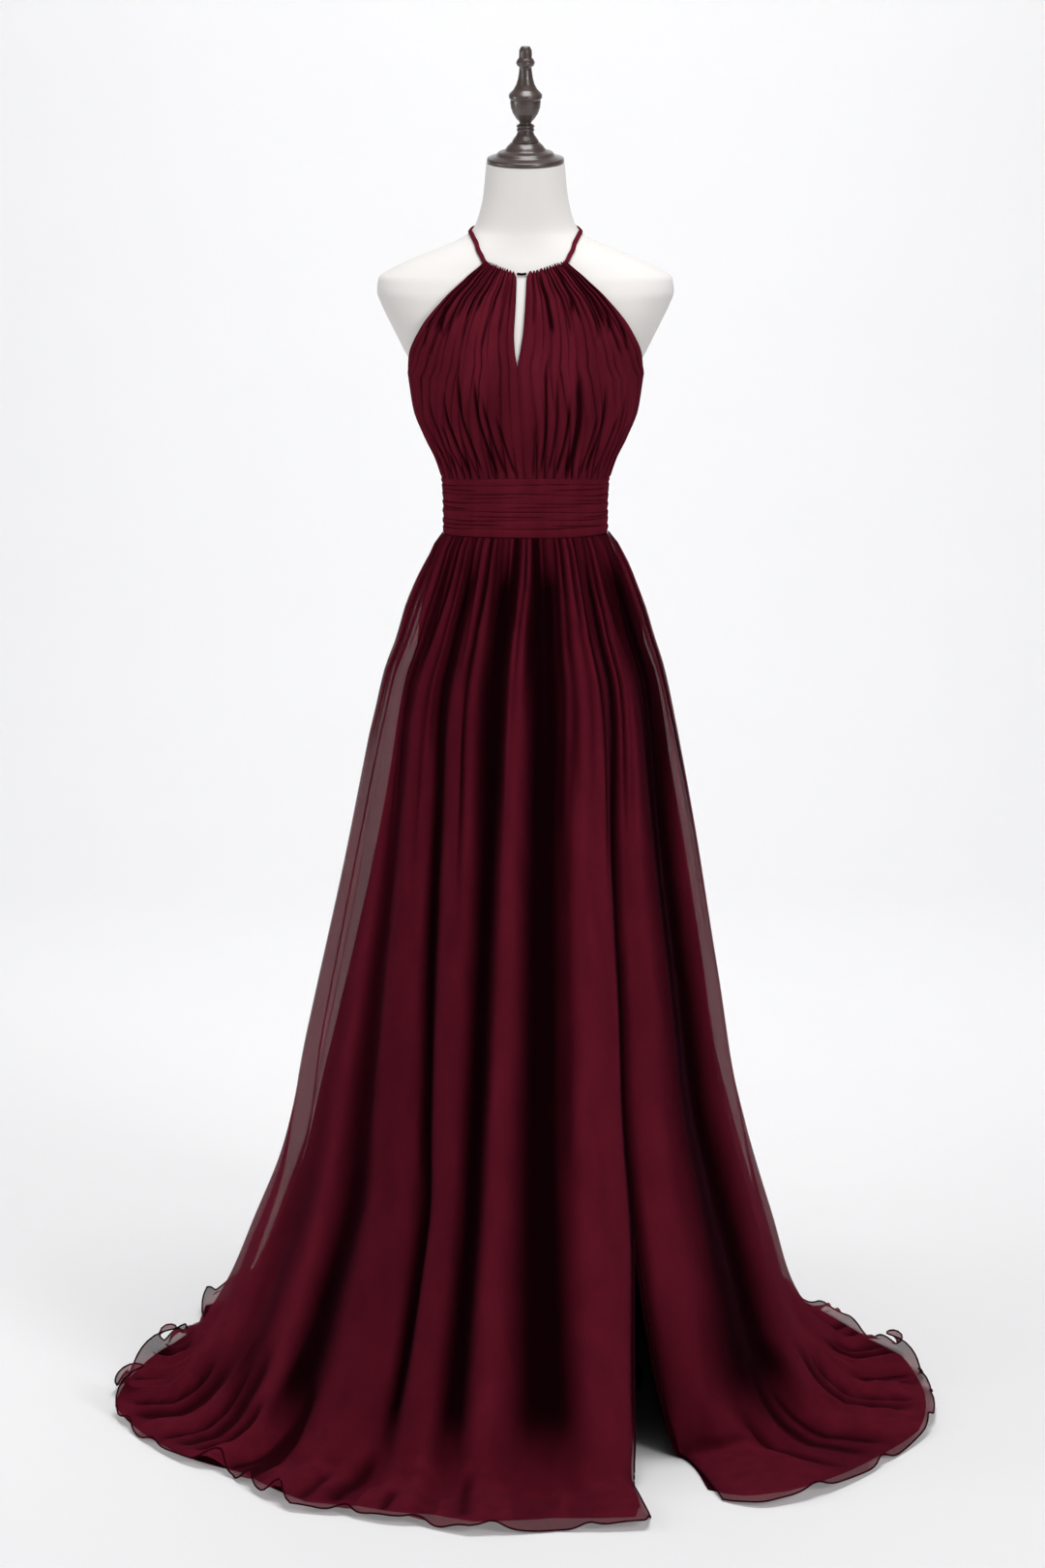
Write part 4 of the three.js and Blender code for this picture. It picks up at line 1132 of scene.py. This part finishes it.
# %% the lining
LINING_THICK = 0.6
LINING_PER_FOLD = 12
LINING_STEPS = 70
SEAM_ALLOWANCE = 6
LINING_SHORTER = 10
LINING_PANELS = [
    ["lining_front", 0, 5, (1.02, 1.28), 0.66],
    ["lining_front_side", 6, 7, (0.48, 1.26), 0.32],
    ["lining_back_right", 8, 12, (0.76, 1.34), 0.52],
    ["lining_back_left", 13, 17, (0.76, 1.34), 0.52],
]
lined = ~np.isnan(SKIRT["lining"])
lining_down = np.linspace(0, DOWN[-1] - LINING_SHORTER, LINING_STEPS)
for name, first, last, flat, area in LINING_PANELS:
    inset = curve_through(DOWN[lined], SKIRT["lining"][lined], lining_down)
    points, crest = skirt_grid(first, last, LINING_PER_FOLD, lining_down, 0.0, -inset[:, None])
    points = np.concatenate([points[:1] + (0, 0, SEAM_ALLOWANCE), points])
    panel = shell_object(f"satin_{name}", clear_of_floor(points, FLOOR_GAP["lining"]), LINING_THICK)
    dressed(panel, LINING_SATIN, "lining", name)
    tell_cloth(name, panel)

# %% [markdown]
# The waistband is a strip pleated flat, seven times, with the folded edges up. Each pleat stands a
# little proud of the one above it, and a fine groove with painted shade in it shows under each edge;
# each pleat is painted a little darker towards its lower edge, and its drag creases are painted
# darker too. The edges wander, as pleats do that are pinned by hand, and the band puckers a little at
# its side seams.

# %% the waistband
EASE = 0.8
BAND_CLOTH = 1.5
WAIST_TOP, WAIST_BOTTOM = 1142, 1079
LEAST_RADIUS = 75
PLEATS = 7
PLEAT_EDGE = 1.5
BAND_TALLER = 6
BAND_PUFF = 1.6
BAND_STEPS = 112
BAND_PER_HALF = 150
PLEAT_EDGES = table("left middle right", [
    [0, 0, 0],
    [0.125, 0.11, 0.10],
    [0.26, 0.275, 0.30],
    [0.41, 0.425, 0.445],
    [0.555, 0.57, 0.60],
    [0.73, 0.715, 0.71],
    [0.875, 0.86, 0.845],
    [1, 1, 1],
])
PLEAT_WANDER = 0.006
LIP_FROM = 0.5
# The groove's dark value is painted shade under each pleat's edge.
GROOVE = {"at": 0.97, "width": 0.045, "depth": 1.1, "dark": 0.8}
PUCKERS = table("at width size pace start", [[-84, 3, 0.8, 34, 0], [85, 2.6, 0.5, 29, 1]])
BAND_CREASES = [
    [0.17, -84, 0.2, -30, -0.6, 0.014], [0.34, -60, 0.31, 5, -0.5, 0.012],
    [0.49, -88, 0.52, -40, -0.7, 0.014], [0.5, -20, 0.47, 48, -0.5, 0.012],
    [0.64, -50, 0.66, 20, -0.6, 0.012], [0.8, -86, 0.78, -10, -0.7, 0.014],
    [0.2, 10, 0.16, 80, -0.6, 0.014], [0.36, 30, 0.39, 88, -0.5, 0.013],
    [0.67, 40, 0.64, 89, -0.6, 0.013], [0.8, 15, 0.83, 70, -0.6, 0.014],
    [0.3, 110, 0.34, 165, -0.5, 0.014], [0.62, 100, 0.6, 170, -0.6, 0.014],
    [0.32, 195, 0.3, 255, -0.5, 0.014], [0.66, 190, 0.68, 262, -0.6, 0.014],
]


def band_top(angle):
    return WAIST_TOP + BAND_TALLER + SEAM_RISE["top"] * front_share(angle)


def band_bottom(angle):
    return WAIST_BOTTOM + SEAM_RISE["bottom"] * front_share(angle)


def seam_angles(start, end, columns):
    nudge = math.degrees(SEAM_GAP / 2 / LEAST_RADIUS)
    angles = np.linspace(start, end, columns + 1)
    angles[0] += nudge
    angles[-1] -= nudge
    return angles


def pleat_place(angle, share):
    """Which pleat a point of the band is on, and how far down that pleat it lies."""
    side = np.sin(np.radians(angle))
    edges = []
    for i, (left, middle, right) in enumerate(zip(*PLEAT_EDGES.values())):
        wander = PLEAT_WANDER * np.sin(angle / 13 + 2.2 * i) * (0 < i < PLEATS)
        edges.append(np.where(side < 0, mix(middle, left, -side), mix(middle, right, side)) + wander)
    fall = np.zeros(np.broadcast(angle, share).shape)
    number = fall.copy()
    for i, (top, bottom) in enumerate(zip(edges, edges[1:])):
        inside = (share >= top) & (share <= bottom)
        fall = np.where(inside, (share - top) / (bottom - top), fall)
        number = np.where(inside, i, number)
    return fall, number


def band_points(angles, steps):
    share = np.linspace(0, 1, steps)[:, None]
    angle = angles[None, :]
    fall, number = pleat_place(angle, share)
    lip = PLEAT_EDGE * mix(LIP_FROM, 1, smooth(fall * 5)) * (1 - fall) ** 0.8
    strength = 0.6 + 0.4 * np.sin(angle / 15 + 2.6 * number)
    groove = bulge(fall - GROOVE["at"], GROOVE["width"]) * strength
    drag = crease_relief(BAND_CREASES, share, angle)
    pucker = sum(
        size * bulge(angle - at, width) * np.sin(share * pace + start)
        for at, width, size, pace, start in zip(*PUCKERS.values())
    )
    puff = BAND_PUFF * np.sin(math.pi * clamp(share * 0.96 + 0.02)) ** 0.5
    out = EASE + BAND_CLOTH + puff + lip - GROOVE["depth"] * groove + pucker + drag
    z = mix(band_top(angle), band_bottom(angle), share)
    # Painted shade: in the groove under each edge, down each pleat and in the drag creases.
    crest = 1 - GROOVE["dark"] * groove - 0.12 * fall - clamp(-drag)
    return off_form(angle + 0 * share, z, out), crest


BAND_PIECES = [
    ["waistband_front", -90, 90, (0.31, 0.075)],
    ["waistband_back_right", 90, 180, (0.15, 0.075)],
    ["waistband_back_left", 180, 270, (0.15, 0.075)],
]
for name, start, end, flat in BAND_PIECES:
    angles = seam_angles(start, end, BAND_PER_HALF * (end - start) // 180)
    points, crest = band_points(angles, BAND_STEPS)
    band = shell_object(f"pleated_{name}", points, CHIFFON_THICK, crest)
    dressed(band, BODICE_CHIFFON, "chiffon", name)
    tell_cloth(name, band)

# %% [markdown]
# The bodice front is two halves, each gathered into the neckline and again into the waistband, so
# its gathers fan out over the bust. Between them is a keyhole slot, then a seam. A share from 0 at
# the slot to 1 at the armhole or side places a point across a half.

# %% the bodice's sizes
NECKLINE_SIDE = 1413
UNDERARM = 1262
BODICE_EASE = 1.3
ARMHOLE_EASE = 1.5
EASE_RISE = 60
BODICE_CLOTH = 1.4
ARMHOLE = table("z reach", [
    [1284, 137.5], [1305, 135.5], [1335, 123.5], [1364, 102], [1391, 74.5], [1413, 49],
])
KEYHOLE = table("z middle half", [
    [1142, 0, -0.3], [1200, -4, -0.3], [1286, -10, -0.3], [1310, -9.5, 3.2],
    [1335, -8, 5.4], [1364, -6, 5.6], [1413, -4, 6],
])
BODICE = table("z gather", [
    [1142, 2.2], [1170, 2.8], [1200, 3.2], [1232, 3.4], [1262, 3.4],
    [1305, 3.3], [1335, 3], [1364, 2.6], [1391, 2.1], [1413, 1.7],
])
FAN = table("z angle", [
    [1142, 90], [1170, 86], [1200, 81], [1232, 74.5], [1262, 67], [1284, 61],
    [1305, 53.5], [1335, 42.5], [1364, 31.3], [1391, 20.4], [1413, 16.9],
])
FAN_EDGE = 4
UNEVEN = {"share": 0.3, "pace": 2.4}
NECKLINE_DIP = 12
BODICE_ROWS = 110
BODICE_COLUMNS = 224

# %% [markdown]
# No two gathers are alike. Each is bent a little sideways on its way down, some start only at the
# bust and some end there, and the cloth sinks in narrow grooves between them. Long slanting creases
# run from the neckline's corners along the armholes.

# %% the bodice front
LEFT_GROOVES = [
    0, 0.062, 0.135, 0.222, 0.278, 0.352, 0.436, 0.49, 0.572, 0.65, 0.706, 0.79, 0.862, 0.925, 1,
]
RIGHT_GROOVES = [
    0, 0.078, 0.136, 0.205, 0.295, 0.35, 0.418, 0.508, 0.562, 0.648, 0.72, 0.778, 0.866, 0.935, 1,
]
LEFT_CREASES = [
    [0.35, 1285, 0.18, 1143, -3.2, 0.013], [0.27, 1262, 0.115, 1143, -2.6, 0.011],
    [0.17, 1240, 0.045, 1143, -2.4, 0.01], [0.5, 1300, 0.3, 1143, -2.8, 0.012],
    [0.58, 1262, 0.42, 1143, -3.2, 0.014], [0.62, 1230, 0.485, 1143, -2.2, 0.01],
    [0.72, 1255, 0.56, 1143, -2.4, 0.012], [0.78, 1228, 0.65, 1143, -3, 0.012],
    [0.85, 1205, 0.76, 1143, -2, 0.012], [0.93, 1215, 0.88, 1143, -2.2, 0.012],
    [0.44, 1206, 0.36, 1143, -1.8, 0.009], [0.25, 1192, 0.23, 1143, -1.8, 0.009],
    [0.86, 1416, 0.8, 1325, -3.6, 0.026], [0.94, 1412, 0.91, 1328, -2.6, 0.015],
    [0.75, 1418, 0.66, 1316, -3, 0.015], [0.64, 1416, 0.62, 1338, -2.4, 0.018],
    [0.5, 1418, 0.52, 1342, -2.8, 0.015], [0.38, 1418, 0.43, 1350, -2.8, 0.022],
    [0.2, 1408, 0.3, 1300, -2, 0.016], [0.55, 1408, 0.48, 1310, -1.8, 0.014],
    [0.1, 1406, 0.14, 1320, -1.6, 0.016], [0.89, 1368, 0.7, 1322, -1.9, 0.018],
    [0.77, 1354, 0.77, 1298, -1.8, 0.016], [0.94, 1350, 0.84, 1310, -1.8, 0.018],
    [0.9, 1300, 0.86, 1235, 1.2, 0.02],
]
RIGHT_CREASES = [
    [0.2, 1315, 0.1, 1143, -2.8, 0.011], [0.27, 1290, 0.15, 1143, -2.2, 0.01],
    [0.33, 1262, 0.21, 1143, -2.8, 0.011], [0.42, 1290, 0.3, 1143, -4.2, 0.022],
    [0.52, 1240, 0.42, 1143, -2.4, 0.011], [0.6, 1275, 0.475, 1143, -2.8, 0.012],
    [0.7, 1240, 0.57, 1143, -2.6, 0.012], [0.77, 1262, 0.66, 1143, -1.8, 0.01],
    [0.84, 1225, 0.76, 1143, -2.6, 0.013], [0.93, 1215, 0.87, 1143, -2, 0.012],
    [0.08, 1230, 0.05, 1143, -1.8, 0.01], [0.36, 1195, 0.35, 1143, -1.6, 0.009],
    [0.16, 1408, 0.22, 1322, -3.6, 0.02], [0.6, 1418, 0.42, 1346, -3, 0.024],
    [0.5, 1416, 0.5, 1338, -2.6, 0.013], [0.82, 1418, 0.72, 1330, -3.6, 0.022],
    [0.76, 1418, 0.66, 1320, -2.8, 0.014], [0.89, 1414, 0.8, 1328, -2.6, 0.014],
    [0.95, 1402, 0.88, 1316, -2.8, 0.018], [0.7, 1384, 0.62, 1318, -2, 0.016],
    [0.36, 1402, 0.38, 1320, -1.8, 0.014], [0.07, 1408, 0.06, 1330, -1.6, 0.014],
    [0.89, 1364, 0.72, 1325, -1.8, 0.016], [0.79, 1352, 0.79, 1300, -1.8, 0.015],
    [0.92, 1340, 0.84, 1306, -1.7, 0.016], [0.9, 1296, 0.87, 1235, 1.2, 0.02],
]
SCALLOP = 3.2
BODICE_TUCK = 2
ROLLED_EDGE = {"size": 2.2, "low": 1270, "high": 1400, "over": 30}
GATHERED_ABOVE, GATHERED_BELOW, GATHERED_OVER = 1330, 1225, 60
CALM_EDGES = 30
DEEPEST = 1.3
# Painted shade in the deepest creases.
CUT_SHADE = {"depth": 2.6, "share": 0.9}


def half_angles(side, c, level):
    """The angle of each point of a half, from the keyhole's edge out to the armhole or side seam."""
    slot = read(KEYHOLE, "middle", level) + side * read(KEYHOLE, "half", level)
    side_seam = 90 - math.degrees(SEAM_GAP / 2 / LEAST_RADIUS)
    armhole = angle_at(read(ARMHOLE, "reach", level), level)
    rounding = smooth((level - UNDERARM) / (ARMHOLE["z"][0] - UNDERARM))
    edge = mix(side_seam, armhole, rounding)
    fan = read(FAN, "angle", level)
    return mix(angle_at(slot, level), side * fan, c) + side * (edge - fan) * c**FAN_EDGE


def gathered_relief(side, c, level, grooves, cuts):
    """The gathers of a half: their relief, how near to a ridge each point is, and its painted light and
    shade.
    """
    wander = 0.008 * np.sin(level / 58 + 9 * c + side) * smooth(c * 8) * smooth((1 - c) * 8)
    wave = np.interp(c + wander, grooves, np.arange(len(grooves)))
    number = np.floor(wave)
    uneven = 1 + UNEVEN["share"] * np.sin(UNEVEN["pace"] * number * 2 + side)
    height = read(BODICE, "gather", level) * uneven
    above = smooth((level - GATHERED_ABOVE) / GATHERED_OVER)
    ends = np.maximum(above, smooth((GATHERED_BELOW - level) / GATHERED_OVER))
    strength = np.clip(0.25 + 0.5 * ends + 0.3 * np.sin(level / 40 + 2.1 * number + side), 0.08, 1)
    ridge = (0.5 - 0.5 * np.cos(math.tau * wave)) ** 0.4
    fine = 0.22 * np.sin(math.tau * (wave * 2.37 + level / 400)) * ridge
    swell = np.sin(7.3 * c + level / 70 + side) * np.sin(3 * c + 1)
    relief = 0.9 * height - (0.9 * height + DEEPEST) * strength * (1 - ridge) + 0.5 * swell + fine + cuts
    # Painted shade in the grooves between gathers and in the cut creases, and painted light on the swells.
    shaded_cuts = CUT_SHADE["share"] * clamp(-cuts / CUT_SHADE["depth"])
    crest = (1 - 0.95 * strength * (1 - ridge) ** 1.2) * (1 - shaded_cuts) * (0.92 + 0.08 * swell)
    return relief, ridge, crest


def bodice_points(side, grooves, creases):
    t = np.linspace(0, 1, BODICE_ROWS)[:, None]
    count = np.arange(BODICE_COLUMNS + 1) / BODICE_COLUMNS
    c = (1 - count if side < 0 else count)[None, :]
    level = mix(NECKLINE_SIDE, WAIST_TOP, t)
    angle = half_angles(side, c, level)
    top_rows = clamp((level - BODICE["z"][-2]) / (NECKLINE_SIDE - BODICE["z"][-2]))
    low_rows = clamp((BODICE["z"][1] - level) / (BODICE["z"][1] - WAIST_TOP))
    z = level - top_rows * NECKLINE_DIP * (1 - c) ** 1.5
    z = z + low_rows * (band_top(angle) - BODICE_TUCK - WAIST_TOP)
    relief, ridge, crest = gathered_relief(side, c, level, grooves, crease_relief(creases, c, level))
    calm = (0.35 + 0.65 * smooth(c * CALM_EDGES)) * (0.3 + 0.7 * smooth((1 - c) * CALM_EDGES))
    relief = relief * calm * smooth((level - WAIST_TOP + 1) / 9)
    z = z - SCALLOP * (1 - ridge) * clamp((level - NECKLINE_SIDE + 12) / 12)
    ease = BODICE_EASE + ARMHOLE_EASE * smooth(c) * smooth((z - WAIST_TOP) / EASE_RISE)
    rolled = smooth((level - ROLLED_EDGE["low"]) / ROLLED_EDGE["over"])
    rolled = rolled * smooth((ROLLED_EDGE["high"] - level) / ROLLED_EDGE["over"])
    ease = ease + ROLLED_EDGE["size"] * smooth(c * 5 - 3.6) * rolled
    return off_form(angle, z, ease + BODICE_CLOTH + np.maximum(relief, -DEEPEST)), crest


for name, side, grooves, creases in [
    ["bodice_front_left", -1, LEFT_GROOVES, LEFT_CREASES],
    ["bodice_front_right", 1, RIGHT_GROOVES, RIGHT_CREASES],
]:
    points, crest = bodice_points(side, grooves, creases)
    half = shell_object(f"gathered_{name}", points, CHIFFON_THICK, crest)
    dressed(half, BODICE_CHIFFON, "chiffon", name)
    tell_cloth(name, half)

# %% [markdown]
# The back of the bodice is plain and close-fitting, with a seam down its middle and a few faint
# drag lines. Its top edge dips between the underarms.

# %% the bodice back
BACK_DIP = 28
BACK_COLUMNS, BACK_ROWS = 70, 60
BACK_CREASES = [
    [100, 1250, 112, 1160, -0.7, 3], [124, 1235, 132, 1155, 0.6, 3], [150, 1225, 156, 1150, -0.6, 3],
    [206, 1225, 202, 1150, -0.6, 3], [232, 1235, 226, 1155, 0.6, 3], [258, 1250, 246, 1160, -0.7, 3],
]
for name, start, end in [["bodice_back_right", 90, 180], ["bodice_back_left", 180, 270]]:
    angle = seam_angles(start, end, BACK_COLUMNS)[None, :]
    top = UNDERARM - BACK_DIP * np.cos(np.radians(angle)) ** 2
    z = mix(top, WAIST_TOP - BODICE_TUCK, np.linspace(0, 1, BACK_ROWS)[:, None])
    relief = crease_relief(BACK_CREASES, angle, z)
    points = off_form(angle + 0 * z, z, BODICE_EASE + BODICE_CLOTH + relief)
    # The crest value paints shade in the drag lines' troughs and light on their ridges.
    half = shell_object(f"plain_{name}", points, CHIFFON_THICK, 0.85 + 0.15 * relief)
    dressed(half, BODICE_CHIFFON, "chiffon", name)
    tell_cloth(name, half)

# %% [markdown]
# The halter straps are rouleaux: bias strips sewn into a tube, turned and pressed flat. They lie on
# the shoulders from the neckline's corners to the nape. Their section is a flat oval.

# %% the straps and the keyhole's cord
STRAP = table("angle z", [
    [14.5, 1409.5], [24, 1421.6], [42, 1434.8], [66, 1444], [90, 1448], [120, 1450], [150, 1450], [180, 1450],
])
STRAP_WIDTH = 5.6
STRAP_THICK = 1.6
STRAP_LIFT = 1.4
STRAP_STEPS = 130
STRAP_SIDES = 14
NAPE_GAP = 0.25
STRAP_LIT = 0.9
KEYHOLE_CORD = 1.5
CORD_SAG = 0.8


def strap_rings(side):
    angle = np.linspace(STRAP["angle"][0], 180 - NAPE_GAP, STRAP_STEPS)
    z = curve_through(STRAP["angle"], STRAP["z"], angle)
    normal = form_normal(side * angle, z)
    centre = off_form(side * angle, z, STRAP_LIFT + STRAP_THICK / 2 + 0 * z)
    along = np.gradient(centre, axis=0)
    along /= np.linalg.norm(along, axis=-1, keepdims=True)
    across = np.cross(along, normal)
    across /= np.linalg.norm(across, axis=-1, keepdims=True)
    turn = np.arange(STRAP_SIDES) * math.tau / STRAP_SIDES
    wide = power(np.cos(turn), 0.7) * STRAP_WIDTH / 2
    thick = power(np.sin(turn), 0.8) * STRAP_THICK / 2
    return centre[:, None] + across[:, None] * wide[:, None] + normal[:, None] * thick[:, None]


for name, side in [["strap_left", -1], ["strap_right", 1]]:
    strap = rings_object(f"rouleau_{name}", strap_rings(side))
    mark_painted_light(strap, np.full(len(strap.data.vertices), STRAP_LIT))
    dressed(strap, BODICE_CHIFFON, "chiffon", name)

cord_z = NECKLINE_SIDE - NECKLINE_DIP - KEYHOLE_CORD
middle = read(KEYHOLE, "middle", cord_z)
half = read(KEYHOLE, "half", cord_z) - SEAM_GAP
seat = off_form(angle_at(middle, cord_z), cord_z, BODICE_EASE + BODICE_CLOTH / 2)
share = np.linspace(-1, 1, 25)
path = np.stack([middle + half * share, seat[1] + 0 * share, seat[2] - CORD_SAG * (1 - share**2)], -1)
cord = tube_object("keyhole_rouleau", path, KEYHOLE_CORD, sides=12)
dressed(cord, BODICE_CHIFFON, "chiffon", "keyhole_cord")

# %% [markdown]
# The skirt and bodice panels are cut much wider than they hang, because their gathers take up the rest.
# The cut of the bodice back's halves is set down below, though nothing reads it.

# %% the cut of the bodice back
for name in ("bodice_back_left", "bodice_back_right"):
    flat = (0.155, 0.125)

# %% finish
total = sum(triangles(piece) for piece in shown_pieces() if piece.type == "MESH")
print("triangles in all:", total)
